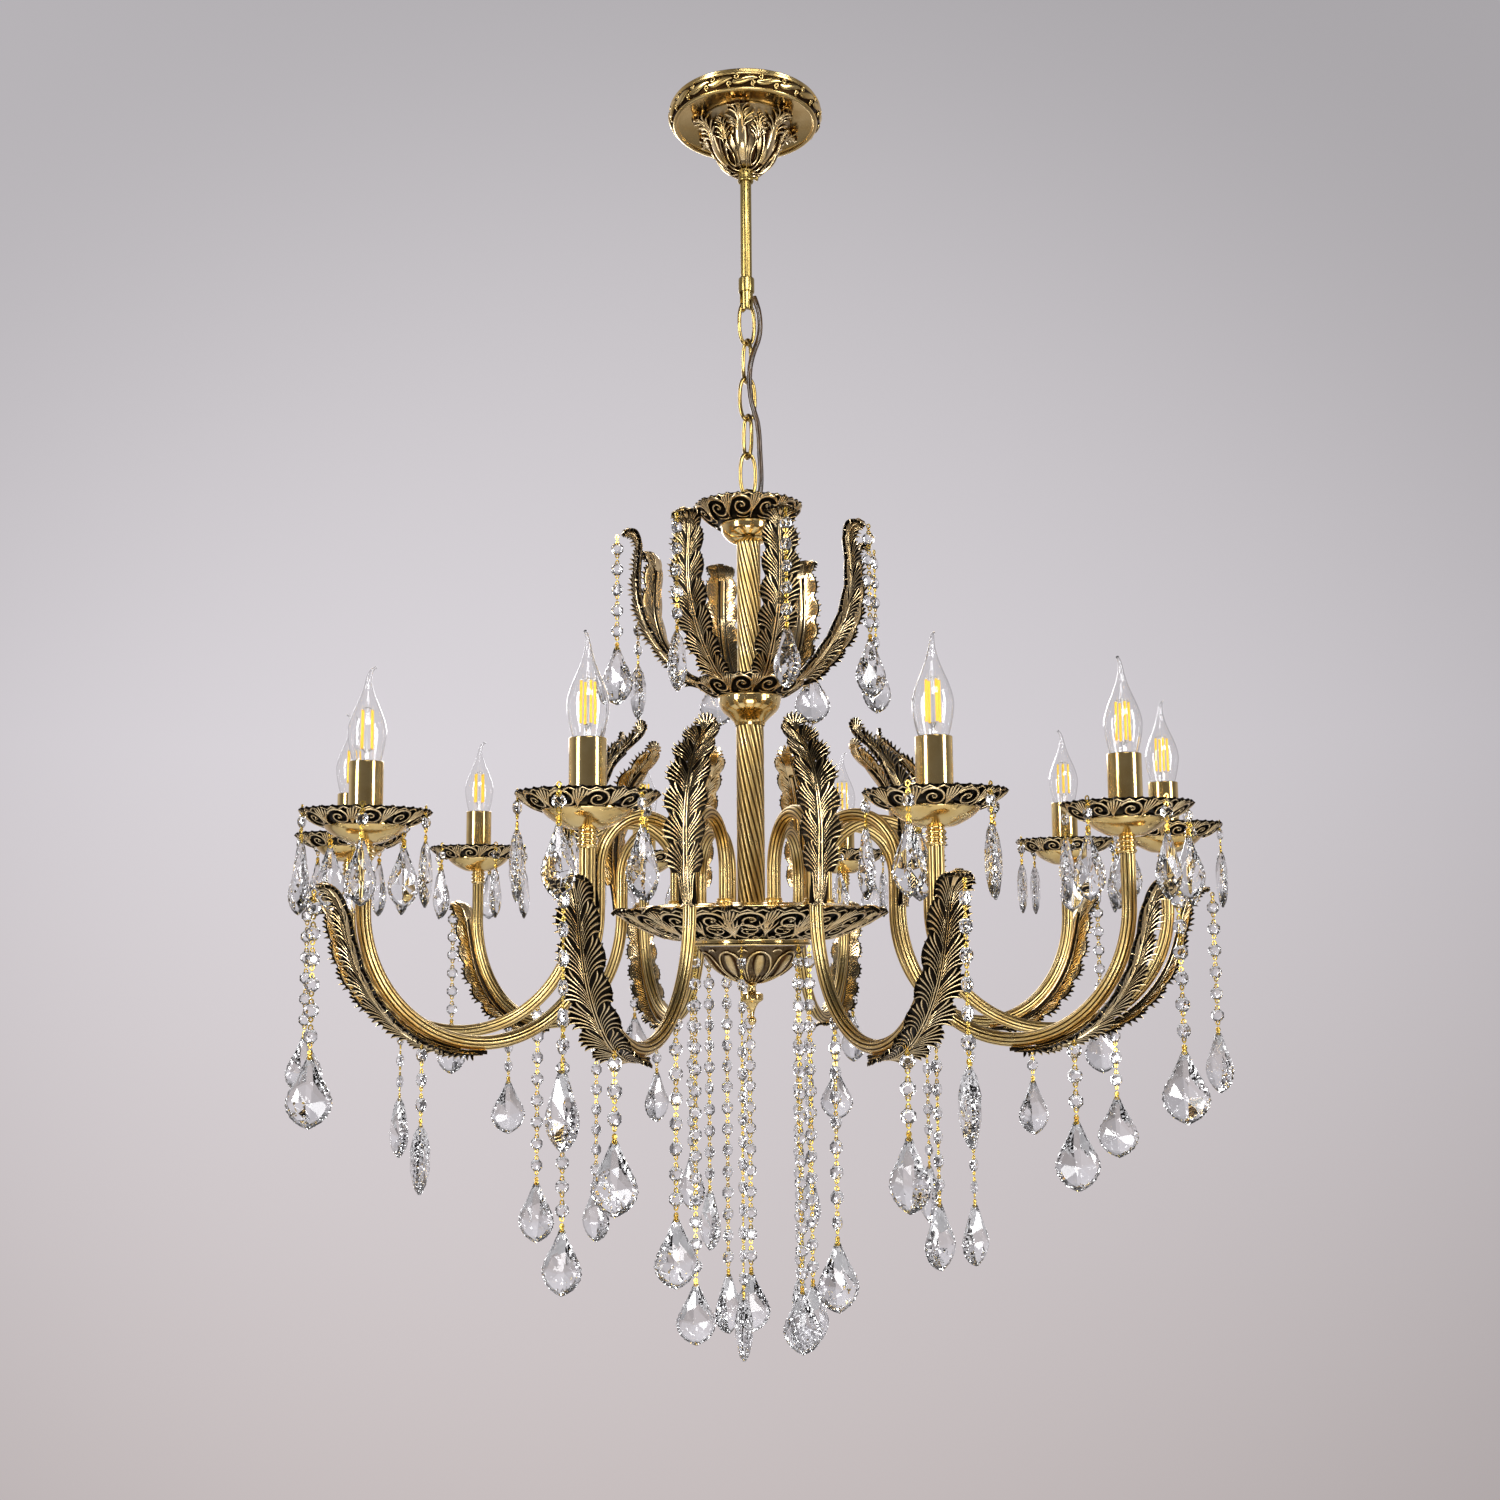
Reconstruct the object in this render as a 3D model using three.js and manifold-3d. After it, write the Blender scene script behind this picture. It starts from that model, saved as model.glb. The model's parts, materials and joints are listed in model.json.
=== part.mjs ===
// A ten arm crystal chandelier on a rod and a short chain, as an assembly of separate pieces.
// Millimetres, +Z up. The origin is the middle of the ceiling bracket's flat top, and all else hangs below it.
import * as THREE from "three";
import { mergeVertices } from "three/addons/utils/BufferGeometryUtils.js";
import Module from "manifold-3d";

const wasm = await Module();
wasm.setup();

// Driving dimensions
const GAP = 0.3; // air between two pieces that touch
const ARM_COUNT = 10;
const FIRST_ARM_DEG = -19.4; // the first arm's direction, counted from -Y towards +X
// Each arm is tightened by hand, so it stands a few degrees off its even place, turned about its own stub.
const ARM_TURN_DEG = [2.3, 4.2, -3.1, -1.6, -5.7, 3.8, 2.8, -2.4, -3.9, 3.3];

// Ceiling fitting
const BRACKET = { length: 140, width: 26, thickness: 2.5, bossRadius: 13, bossDepth: 18 };
const CANOPY = { radius: 86, lip: -24, plate: -19, holeRadius: 36, wall: 1.6 };
const LEAF_CUP = { bottom: -76, mouthRadius: 62 };
const ROD = { radius: 6.3, top: -20.8, bottom: -204 };
const COLLAR = { radius: 9, height: 14 };

// Chain: every link is a bent wire, and each hangs in the one above at a right angle to it
const CHAIN_YAW_DEG = 27;
const LINK = { count: 5, length: 52.6, width: 23, wire: 4.4, seam: 0.5 };
const COUPLING = { top: -204.3, collarBottom: -221, bottom: -241.5, pin: -237, pinRadius: 2, slot: 5.6 };

// Body, from the loop down to the finial
const LOOP = { top: -447, thickness: 3, width: 6.4, halfSpan: 8.5, foot: -468 };
const TIE_ROD = { radius: 5, bottom: -983.5 };
const TOP_ROSETTE = { radius: 57, rim: -465.8, bottom: -488 };
const TOP_CUP = { radius: 30, bottom: -508 };
const UPPER_COLUMN = { radius: 13, bottom: -659 };
const CROWN_RING = { radius: 57, bottom: -679 };
const CROWN_BOWL = { radius: 34, bottom: -711 };
const LOWER_COLUMN = { radius: 15, bottom: -903.4 };
const BOWL = { radius: 143, cover: -903.7, rimTop: -908, bottom: -939 };
const BOWL_RING = { radius: 63.5, height: 8 };
const DOME = { radius: 57, bottom: -985 };
const FINIAL = { bottom: -1031, discRadius: 12, ballRadius: 4.6 };

// Crown of leaves
const CROWN = { leaves: 8, firstDeg: -30, width: 44, thickness: 3, bandRadius: 50 };

// Arm: up from the bowl, over a small arch, down, and out and up in a wide half circle
const ARM = { radius: 6.75, stub: 80, arch: 55, archHeight: -870, sweep: 125, sweepHeight: -911, top: -868.3 };
const ARM_END = ARM.stub + 2 * ARM.arch + 2 * ARM.sweep; // the candle's distance from the middle
const ARM_LEAF = { width: 46, thickness: 3 };

// Candle holder and bulb
const CANDLE = { cupRadius: 37, plateRadius: 57.5, plateTop: -822, sleeveRadius: 15.5, sleeveTop: -778 };
const SOCKET = { radius: 7.4, top: -797, mouthRadius: 14, mouth: -784 };
const BULB = { radius: 17.5, base: -812, widest: -752, tip: -689 };

// Crystal strands that hang from the bowl's polished ring, at the places where they are hooked on
const STRAND = { degrees: [-10, 53, 88, 127, 183, 207, 230, 265], radius: 61, beads: 15, pitch: 22.4 };
const BEAD_RADIUS = 7;
const DROP = { length: 62, radius: 9 };

// Supply cable, woven beside and through the chain from the coupling to the rosette
const CABLE_RADIUS = 3;
const CABLE_ROUTE = [
  [8.4, -7.4, -229],
  [10.6, -8.6, -236],
  [13.2, -9.4, -246],
  [14.6, -9.6, -258],
  [14.4, -9.8, -270],
  [12.2, -10.6, -281],
  [8.4, -12.4, -292],
  [5, -14.4, -304],
  [3, -15.4, -316],
  [2.4, -15, -328],
  [3, -13.6, -340],
  [4.6, -13.4, -352],
  [7.6, -13.6, -364],
  [10.8, -13.2, -376],
  [12.4, -12.4, -390],
  [13, -11.8, -404],
  [13.6, -11.4, -418],
  [14.2, -11.2, -432],
  [14, -11.4, -446],
  [12.6, -12.4, -458],
  [11.8, -13, -469],
];

const metals = {
  polished: new THREE.MeshStandardMaterial({ color: 0xd9a441, metalness: 1, roughness: 0.18 }),
  antique: new THREE.MeshStandardMaterial({ color: 0x8a6a2c, metalness: 1, roughness: 0.42 }),
  steel: new THREE.MeshStandardMaterial({ color: 0x9a9a98, metalness: 1, roughness: 0.45 }),
};
const bulbGlass = new THREE.MeshStandardMaterial({ color: 0xf2efe6, roughness: 0.03 });
const crystal = new THREE.MeshStandardMaterial({ color: 0xf4f6fa, roughness: 0.02 });
const cableSkin = new THREE.MeshStandardMaterial({ color: 0x4a3216, roughness: 0.35 });

const chandelier = new THREE.Group();
const rad = THREE.MathUtils.degToRad;
const point = (x, y, z) => new THREE.Vector3(x, y, z);

// A closed solid of a three.js geometry. A profile drawn the other way round is turned to face out.
function solid(geometry) {
  const bare = geometry.clone();
  bare.deleteAttribute("normal");
  bare.deleteAttribute("uv");
  const merged = mergeVertices(bare, 1e-3);
  const corners = merged.index.array;
  const kept = [];
  for (let i = 0; i < corners.length; i += 3) {
    const [a, b, c] = corners.slice(i, i + 3);
    if (a !== b && b !== c && c !== a) kept.push(a, b, c);
  }
  const build = (triangles) =>
    new wasm.Manifold(
      new wasm.Mesh({
        numProp: 3,
        vertProperties: new Float32Array(merged.attributes.position.array),
        triVerts: new Uint32Array(triangles),
      }),
    );
  const made = build(kept);
  return made.volume() > 0 ? made : build(kept.reverse());
}

function join(solids) {
  return solids.reduce((whole, next) => whole.add(next));
}

function geometryOf(made) {
  const mesh = made.getMesh();
  const geometry = new THREE.BufferGeometry();
  geometry.setAttribute("position", new THREE.BufferAttribute(mesh.vertProperties, 3));
  geometry.setIndex(new THREE.BufferAttribute(mesh.triVerts, 1));
  geometry.computeVertexNormals();
  return geometry;
}

function add(name, made, material, parent = chandelier) {
  const mesh = new THREE.Mesh(geometryOf(made), material);
  mesh.name = name;
  parent.add(mesh);
  return mesh;
}

// A profile of [radius, height] points turned about the Z axis.
function turned(profile, sides = 24) {
  const points = profile.map(([r, z]) => new THREE.Vector2(r, z));
  return solid(new THREE.LatheGeometry(points, sides).rotateX(Math.PI / 2));
}

// The same, for a ring or a tube, whose profile closes on itself.
function turnedRing(profile, sides = 24) {
  return turned([...profile, profile[0]], sides);
}

function block(width, depth, height, x, y, z) {
  return solid(new THREE.BoxGeometry(width, depth, height).translate(x, y, z));
}

function rodBetween(radius, low, high, sides = 16) {
  return turned([[0, low], [radius, low], [radius, high], [0, high]], sides);
}

// A round wire or tube along a smooth curve through the points.
function tube(points, radius, steps, sides) {
  const section = new THREE.Shape();
  for (let i = 0; i < sides; i++) {
    const angle = (2 * Math.PI * i) / sides;
    const corner = [radius * Math.cos(angle), radius * Math.sin(angle)];
    if (i === 0) section.moveTo(...corner);
    else section.lineTo(...corner);
  }
  section.closePath();
  const path = new THREE.CatmullRomCurve3(points, false, "centripetal");
  return solid(new THREE.ExtrudeGeometry(section, { extrudePath: path, steps, bevelEnabled: false }));
}

// A cast leaf: a lobed plate bent along a spine that lies in the XZ plane, hollowed on its inner side.
function leaf(spinePoints, { width, thickness }, lobes, rows) {
  const plate = new THREE.BoxGeometry(1, 1, 1, 2, 1, rows);
  const spine = new THREE.CatmullRomCurve3(spinePoints);
  const side = point(0, 1, 0);
  const place = plate.attributes.position;
  for (let i = 0; i < place.count; i++) {
    const across = place.getX(i) * 2;
    const along = place.getZ(i) + 0.5;
    const out = new THREE.Vector3().crossVectors(spine.getTangent(along), side);
    const taper = Math.pow(Math.sin(Math.PI * (0.12 + 0.82 * along)), 0.6);
    const lobe = 0.84 + 0.16 * Math.cos(2 * Math.PI * lobes * along);
    const spot = spine.getPoint(along);
    spot.addScaledVector(side, (across * width * taper * lobe) / 2);
    spot.addScaledVector(out, place.getY(i) * thickness + 5 * across * across * taper);
    place.setXYZ(i, spot.x, spot.y, spot.z);
  }
  return solid(plate);
}

// Ceiling fitting -------------------------------------------------------------------------------

function ceilingBracket() {
  const { length, width, thickness, bossRadius, bossDepth } = BRACKET;
  const bar = block(length, width, thickness, 0, 0, -thickness / 2);
  const boss = rodBetween(bossRadius, -thickness - bossDepth, -thickness / 2);
  const screwHole = (x) => rodBetween(2.6, -2 * thickness, thickness, 12).translate(x, 0, 0);
  return join([bar, boss]).subtract(screwHole(-52)).subtract(screwHole(52));
}

function ceilingCanopy() {
  const { radius, lip, plate, holeRadius, wall } = CANOPY;
  return turnedRing([
    [radius - 5, -0.5],
    [radius - 2, -0.5],
    [radius, -7],
    [radius, lip + 3],
    [radius - 4, lip],
    [radius - 7, lip],
    [radius - 8, plate - wall],
    [holeRadius, plate - wall],
    [holeRadius, plate],
    [radius - 7, plate],
    [radius - 5, -7],
  ], 24);
}

function canopyLeafCup() {
  const { bottom, mouthRadius } = LEAF_CUP;
  const under = CANOPY.plate - CANOPY.wall - GAP;
  const bore = ROD.radius + 0.6;
  return turnedRing([
    [bore, bottom],
    [20, bottom + 2],
    [31, bottom + 13],
    [38, bottom + 27],
    [44, bottom + 40],
    [mouthRadius - 6, bottom + 50],
    [mouthRadius, under - 2.2],
    [mouthRadius, under],
    [mouthRadius - 8, under],
    [41, bottom + 43],
    [35.5, bottom + 28],
    [28.5, bottom + 15],
    [18.5, bottom + 5],
    [bore, bottom + 4],
  ], 16);
}

function rodCollar() {
  const top = LEAF_CUP.bottom - GAP;
  const bore = ROD.radius + 0.4;
  const ring = turnedRing([
    [bore, top],
    [COLLAR.radius, top],
    [COLLAR.radius, top - COLLAR.height],
    [bore, top - COLLAR.height],
  ]);
  const screw = rodBetween(2, 0, 8, 8).rotate([0, 90, 0]).translate(COLLAR.radius - 1.5, 0, top - 9);
  return ring.add(screw);
}

// Chain -----------------------------------------------------------------------------------------

// One link, with its top at z = 0, standing in the XZ plane. Its seam is half way down one side.
function chainLink() {
  const halfHeight = (LINK.length - LINK.wire) / 2;
  const halfWidth = (LINK.width - LINK.wire) / 2;
  const roundness = 2 / 2.4;
  const steps = 28;
  const seamAngle = LINK.seam / halfHeight;
  const points = [];
  for (let i = 0; i <= steps; i++) {
    const angle = Math.PI + seamAngle + ((2 * Math.PI - 2 * seamAngle) * i) / steps;
    const x = Math.sign(Math.cos(angle)) * Math.pow(Math.abs(Math.cos(angle)), roundness);
    const z = Math.sign(Math.sin(angle)) * Math.pow(Math.abs(Math.sin(angle)), roundness);
    points.push(point(halfWidth * x, 0, halfHeight * z - LINK.length / 2));
  }
  return tube(points, LINK.wire / 2, 24, 6);
}

// A fork for the first link: a collar, two cheeks with a pin across them, and a way out for the cable.
function chainCoupling() {
  const { top, collarBottom, bottom, pin, pinRadius, slot } = COUPLING;
  const cheekRadius = 7.4;
  const slotHeight = collarBottom - 2 - bottom;
  const body = join([
    rodBetween(8.9, collarBottom, top),
    rodBetween(cheekRadius, bottom, collarBottom + 1),
  ]);
  const slotBox = block(30, slot, 2 * slotHeight, 0, 0, bottom);
  const outlet = block(12, 12, 30, 8, -7.5, bottom + 13);
  const crossPin = rodBetween(pinRadius, -cheekRadius + 0.6, cheekRadius - 0.6, 12).rotate([90, 0, 0]);
  const cheeks = body.subtract(slotBox).subtract(outlet);
  return cheeks.add(crossPin.translate(0, 0, pin));
}

function addChain() {
  const turn = new THREE.Group();
  turn.rotation.z = rad(CHAIN_YAW_DEG);
  chandelier.add(turn);
  add("chain_coupling", chainCoupling(), metals.polished, turn);
  const firstTop = COUPLING.pin + COUPLING.pinRadius + GAP + LINK.wire;
  const pitch = LINK.length - 2 * LINK.wire - GAP;
  for (let i = 0; i < LINK.count; i++) {
    const link = add(`chain_link_${i + 1}`, chainLink(), metals.polished, turn);
    link.rotation.z = i % 2 ? Math.PI / 2 : 0;
    link.position.z = firstTop - i * pitch;
  }
  add("body_loop", bodyLoop(), metals.polished, turn);
}

// A strap bent over into an arch, which the last link holds. Its foot is a small round plate.
function bodyLoop() {
  const { top, thickness, width, halfSpan, foot } = LOOP;
  const arch = (half, crown) => {
    const outline = new THREE.Shape();
    outline.moveTo(-half, foot);
    outline.lineTo(half, foot);
    outline.lineTo(half, crown - half);
    outline.absarc(0, crown - half, half, 0, Math.PI, false);
    outline.closePath();
    const depth = { depth: width, bevelEnabled: false, curveSegments: 10 };
    const geometry = new THREE.ExtrudeGeometry(outline, depth).translate(0, 0, -width / 2);
    return solid(geometry.rotateX(Math.PI / 2).rotateZ(Math.PI / 2));
  };
  const strap = arch(halfSpan, top).subtract(arch(halfSpan - thickness, top - thickness));
  return strap.add(rodBetween(10, foot, foot + 2.5));
}

// Body ------------------------------------------------------------------------------------------

// The leafy dish that caps the columns: flat on top, running in to its neck below.
function rosette({ radius, rim, bottom }, neckRadius, bore) {
  return turnedRing([
    [bore, bottom],
    [neckRadius, bottom],
    [0.72 * radius, bottom + 4],
    [radius - 3, rim - 6],
    [radius, rim - 1],
    [radius - 4, rim + 1],
    [0.7 * radius, rim - 2.5],
    [bore, rim - 2.5],
  ], 20);
}

function addBody() {
  const bore = TIE_ROD.radius + GAP;
  const cableHole = rodBetween(CABLE_RADIUS + 0.8, -500, -460, 12).translate(11.8, -13, 0);
  const topDish = rosette(TOP_ROSETTE, 26, bore).subtract(cableHole);
  add("center_tie_rod", rodBetween(TIE_ROD.radius, TIE_ROD.bottom, LOOP.foot - GAP, 12), metals.steel);
  add("top_rosette", topDish, metals.antique);

  const cupTop = TOP_ROSETTE.bottom - GAP;
  add("top_cup", turnedRing([
    [bore, TOP_CUP.bottom],
    [UPPER_COLUMN.radius + 1.5, TOP_CUP.bottom],
    [18, TOP_CUP.bottom + 4],
    [26, TOP_CUP.bottom + 8],
    [TOP_CUP.radius, cupTop - 5],
    [TOP_CUP.radius - 1, cupTop],
    [bore, cupTop],
  ], 20), metals.polished);

  const column = (name, radius, top, bottom) => {
    const wall = 2.4;
    add(name, turnedRing([
      [radius - wall, bottom],
      [radius, bottom],
      [radius, top],
      [radius - wall, top],
    ], 16), metals.polished);
  };
  column("upper_column", UPPER_COLUMN.radius, TOP_CUP.bottom - GAP, UPPER_COLUMN.bottom);

  const ringTop = UPPER_COLUMN.bottom - GAP;
  add("crown_ring", turnedRing([
    [bore, CROWN_RING.bottom],
    [CROWN_BOWL.radius - 1, CROWN_RING.bottom],
    [0.82 * CROWN_RING.radius, CROWN_RING.bottom + 4],
    [CROWN_RING.radius, ringTop - 9],
    [CROWN_RING.radius, ringTop - 6],
    [CROWN.bandRadius + 2, ringTop - 5],
    [CROWN.bandRadius - 4, ringTop - 5],
    [CROWN.bandRadius - 6, ringTop],
    [bore, ringTop],
  ], 20), metals.antique);
  add("crown_leaves", crownLeaves(ringTop - 5 + GAP), metals.antique);

  const bowlTop = CROWN_RING.bottom - GAP;
  add("crown_bowl", turnedRing([
    [bore, CROWN_BOWL.bottom],
    [17, CROWN_BOWL.bottom],
    [17, CROWN_BOWL.bottom + 7],
    [22, CROWN_BOWL.bottom + 9],
    [29.5, CROWN_BOWL.bottom + 16],
    [33, CROWN_BOWL.bottom + 23],
    [CROWN_BOWL.radius, bowlTop],
    [bore, bowlTop],
  ], 20), metals.polished);
  column("lower_column", LOWER_COLUMN.radius, CROWN_BOWL.bottom - GAP, LOWER_COLUMN.bottom);
  addBowl(bore);
}

// Eight leaves that stand round the crown ring on one band and curl outwards at their tips.
function crownLeaves(foot) {
  const { leaves, firstDeg, bandRadius } = CROWN;
  const band = turnedRing([
    [bandRadius - 3, foot],
    [bandRadius + 1, foot],
    [bandRadius + 1, foot + 8],
    [bandRadius - 3, foot + 8],
  ], 16);
  const spine = [
    point(bandRadius - 1, 0, foot + 2),
    point(70, 0, -656),
    point(93, 0, -634),
    point(112, 0, -606),
    point(122, 0, -574),
    point(122, 0, -542),
    point(120, 0, -518),
    point(126, 0, -503),
    point(138, 0, -502),
    point(146, 0, -510),
  ];
  const oneLeaf = leaf(spine, CROWN, 4, 9);
  const turnedLeaf = (i) => oneLeaf.rotate([0, 0, firstDeg - 90 + (360 * i) / leaves]);
  return join([band, ...Array.from({ length: leaves }, (_, i) => turnedLeaf(i))]);
}

function addBowl(bore) {
  const { radius, cover, rimTop, bottom } = BOWL;
  add("bowl_cover", turnedRing([
    [bore, cover - 3],
    [126, cover - 3],
    [128, cover],
    [bore, cover],
  ], 32), metals.antique);
  add("bowl_rim", turnedRing([
    [58, bottom],
    [64, bottom],
    [86, bottom + 2],
    [108, bottom + 10],
    [128, bottom + 20],
    [radius, rimTop - 3],
    [radius - 2, rimTop],
    [126, rimTop - 4],
    [106, bottom + 14],
    [84, bottom + 6],
    [58, bottom + 4],
  ], 28), metals.antique);

  const ringTop = bottom - GAP;
  const ringBottom = ringTop - BOWL_RING.height;
  add("bowl_ring", turnedRing([
    [50, ringBottom],
    [BOWL_RING.radius - 1, ringBottom],
    [BOWL_RING.radius, ringBottom + 2],
    [BOWL_RING.radius, ringTop - 2],
    [BOWL_RING.radius - 1.5, ringTop],
    [50, ringTop],
  ], 28), metals.polished);

  const domeTop = ringBottom - GAP;
  add("bowl_dome", turnedRing([
    [bore, DOME.bottom],
    [12, DOME.bottom],
    [25, DOME.bottom + 5],
    [40, DOME.bottom + 15],
    [50, DOME.bottom + 28],
    [DOME.radius, domeTop],
    [DOME.radius - 3, domeTop],
    [47.5, DOME.bottom + 29],
    [38, DOME.bottom + 17],
    [24, DOME.bottom + 7.5],
    [bore, DOME.bottom + 2.5],
  ], 20), metals.antique);
  addStrands(domeTop);

  const { bottom: tip, discRadius, ballRadius } = FINIAL;
  const neck = DOME.bottom - GAP;
  add("finial", turned([
    [0, tip],
    [3, tip + 1.4],
    [ballRadius, tip + ballRadius],
    [2.8, tip + 8.8],
    [2.4, tip + 13],
    [8, tip + 23],
    [discRadius, tip + 26],
    [discRadius, tip + 34],
    [5, tip + 36],
    [4.2, neck - 4],
    [7, neck],
    [0, neck],
  ], 10), metals.polished);
}

// One hanging strand of round crystals and its long drop, with its top at z = 0.
function crystalStrand() {
  const wire = 1;
  const profile = [[0, 0], [wire, 0]];
  for (let i = 0; i < STRAND.beads; i++) {
    const middle = -(i + 0.75) * STRAND.pitch;
    profile.push([BEAD_RADIUS, middle], [wire, middle - STRAND.pitch / 2]);
  }
  const dropTop = -(STRAND.beads + 0.55) * STRAND.pitch;
  profile.push([wire, dropTop], [DROP.radius, dropTop - 0.6 * DROP.length], [0, dropTop - DROP.length]);
  return turned(profile, 4);
}

// The strands hook on a thin hoop under the polished ring, which carries them as one piece.
function addStrands(top) {
  const hoopRadius = 1;
  const middle = top - hoopRadius - GAP;
  const hoop = turnedRing([
    [STRAND.radius - hoopRadius, middle],
    [STRAND.radius, middle - hoopRadius],
    [STRAND.radius + hoopRadius, middle],
    [STRAND.radius, middle + hoopRadius],
  ], 24);
  const strand = crystalStrand();
  const hung = STRAND.degrees.map((angle) =>
    strand.translate(STRAND.radius, 0, middle).rotate([0, 0, angle - 90]),
  );
  add("bowl_crystal_strands", join([hoop, ...hung]), crystal);
}

// Arms, candles and bulbs ------------------------------------------------------------------------

// The arm's middle line, in the XZ plane: the stub stands at x = 0, and +X is outwards.
function armPoints() {
  const { arch, archHeight, sweep, sweepHeight, top } = ARM;
  const foot = BOWL.cover + GAP;
  const points = [point(0, 0, foot), point(0, 0, (foot + archHeight) / 2)];
  const arcSteps = 12;
  for (let i = 0; i <= arcSteps; i++) {
    const angle = (Math.PI * i) / arcSteps;
    points.push(point(arch - arch * Math.cos(angle), 0, archHeight + arch * Math.sin(angle)));
  }
  for (let i = 0; i <= arcSteps; i++) {
    const angle = (Math.PI * i) / arcSteps;
    const x = 2 * arch + sweep - sweep * Math.cos(angle);
    points.push(point(x, 0, sweepHeight - sweep * Math.sin(angle)));
  }
  points.push(point(2 * arch + 2 * sweep, 0, top));
  return points;
}

// A ribbed tube with a collar at its foot, a tall leaf over the arch and a long leaf under the sweep.
function arm() {
  const foot = BOWL.cover + GAP;
  const collar = rodBetween(9, foot, foot + 4, 8);
  const inward = ARM.stub;
  const tallSpine = [
    [196.5, -905],
    [197.5, -870],
    [199, -830],
    [190, -790],
    [172, -760],
    [150, -741],
    [138, -728],
    [137, -716],
  ].map(([r, z]) => point(r - inward, 0, z));
  const longSpine = [
    [330, -1041],
    [360, -1036],
    [392, -1021],
    [418, -998],
    [438, -969],
    [449, -937],
    [456, -911],
    [468, -892],
    [482, -890],
    [488, -898],
  ].map(([r, z]) => point(r - inward, 0, z));
  return join([
    tube(armPoints(), ARM.radius, 26, 6),
    collar,
    leaf(tallSpine, ARM_LEAF, 3, 7),
    leaf(longSpine, ARM_LEAF, 4, 8),
  ]);
}

// Nipple, polished cup, leafy drip plate and candle sleeve with its socket, screwed on the arm's end.
function candleHolder() {
  const { cupRadius, plateRadius, plateTop, sleeveRadius, sleeveTop } = CANDLE;
  const foot = ARM.top + GAP;
  return turned([
    [0, foot],
    [7, foot],
    [7, foot + 5],
    [8.2, foot + 6],
    [8.2, foot + 15],
    [20, foot + 19],
    [32, foot + 25],
    [cupRadius, plateTop - 13],
    [cupRadius + 3, plateTop - 12],
    [plateRadius, plateTop - 3],
    [plateRadius - 2, plateTop],
    [sleeveRadius + 6, plateTop - 2],
    [sleeveRadius, plateTop - 2],
    [sleeveRadius, sleeveTop],
    [SOCKET.mouthRadius, sleeveTop],
    [SOCKET.mouthRadius, SOCKET.mouth],
    [SOCKET.radius, SOCKET.top],
    [SOCKET.radius, BULB.base - GAP],
    [0, BULB.base - GAP],
  ], 10);
}

// A clear flame bulb. Its bent glass tip leans away from the middle line.
function bulb() {
  const { radius, base, widest, tip } = BULB;
  const body = turned([
    [0, base],
    [6.8, base],
    [6.8, base + 18],
    [12, base + 32],
    [radius - 1.6, widest - 11],
    [radius, widest],
    [radius - 3.5, widest + 15],
    [7, widest + 31],
    [2.6, widest + 46],
    [1.9, widest + 50],
    [0, widest + 50],
  ], 8);
  const lean = [[0, widest + 44], [0.6, widest + 50], [2.6, widest + 57], [6.4, tip - 0.6]];
  const tail = tube(lean.map(([x, z]) => point(x, 0, z)), 2, 3, 6);
  return body.add(tail);
}

function addArms() {
  for (let i = 0; i < ARM_COUNT; i++) {
    const number = i + 1;
    const around = new THREE.Group();
    around.rotation.z = rad(FIRST_ARM_DEG - 90 + (360 * i) / ARM_COUNT);
    const aboutStub = new THREE.Group();
    aboutStub.position.x = ARM.stub;
    aboutStub.rotation.z = rad(ARM_TURN_DEG[i]);
    around.add(aboutStub);
    chandelier.add(around);
    add(`arm_${number}`, arm(), metals.polished, aboutStub);
    const holder = add(`candle_holder_${number}`, candleHolder(), metals.polished, aboutStub);
    holder.position.x = ARM_END - ARM.stub;
    const lamp = add(`bulb_${number}`, bulb(), bulbGlass, aboutStub);
    lamp.position.x = ARM_END - ARM.stub;
    lamp.rotation.z = rad(137 * i);
  }
}

// The whole --------------------------------------------------------------------------------------

add("ceiling_bracket", ceilingBracket(), metals.steel);
add("ceiling_canopy", ceilingCanopy(), metals.polished);
add("canopy_leaf_cup", canopyLeafCup(), metals.antique);
add("rod_collar", rodCollar(), metals.polished);
add("down_rod", rodBetween(ROD.radius, ROD.bottom, ROD.top), metals.polished);
addChain();
add("supply_cable", tube(CABLE_ROUTE.map((p) => point(...p)), CABLE_RADIUS, 24, 8), cableSkin);
addBody();
addArms();

export default chandelier;
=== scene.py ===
"""The looks of a ten arm crystal chandelier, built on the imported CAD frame.
Shapes are worked out in millimetres in the object's own frame and turned into metres when a mesh is made."""

import json
import math

import bmesh
import bpy
import numpy as np
from mathutils import Matrix, Vector


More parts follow.
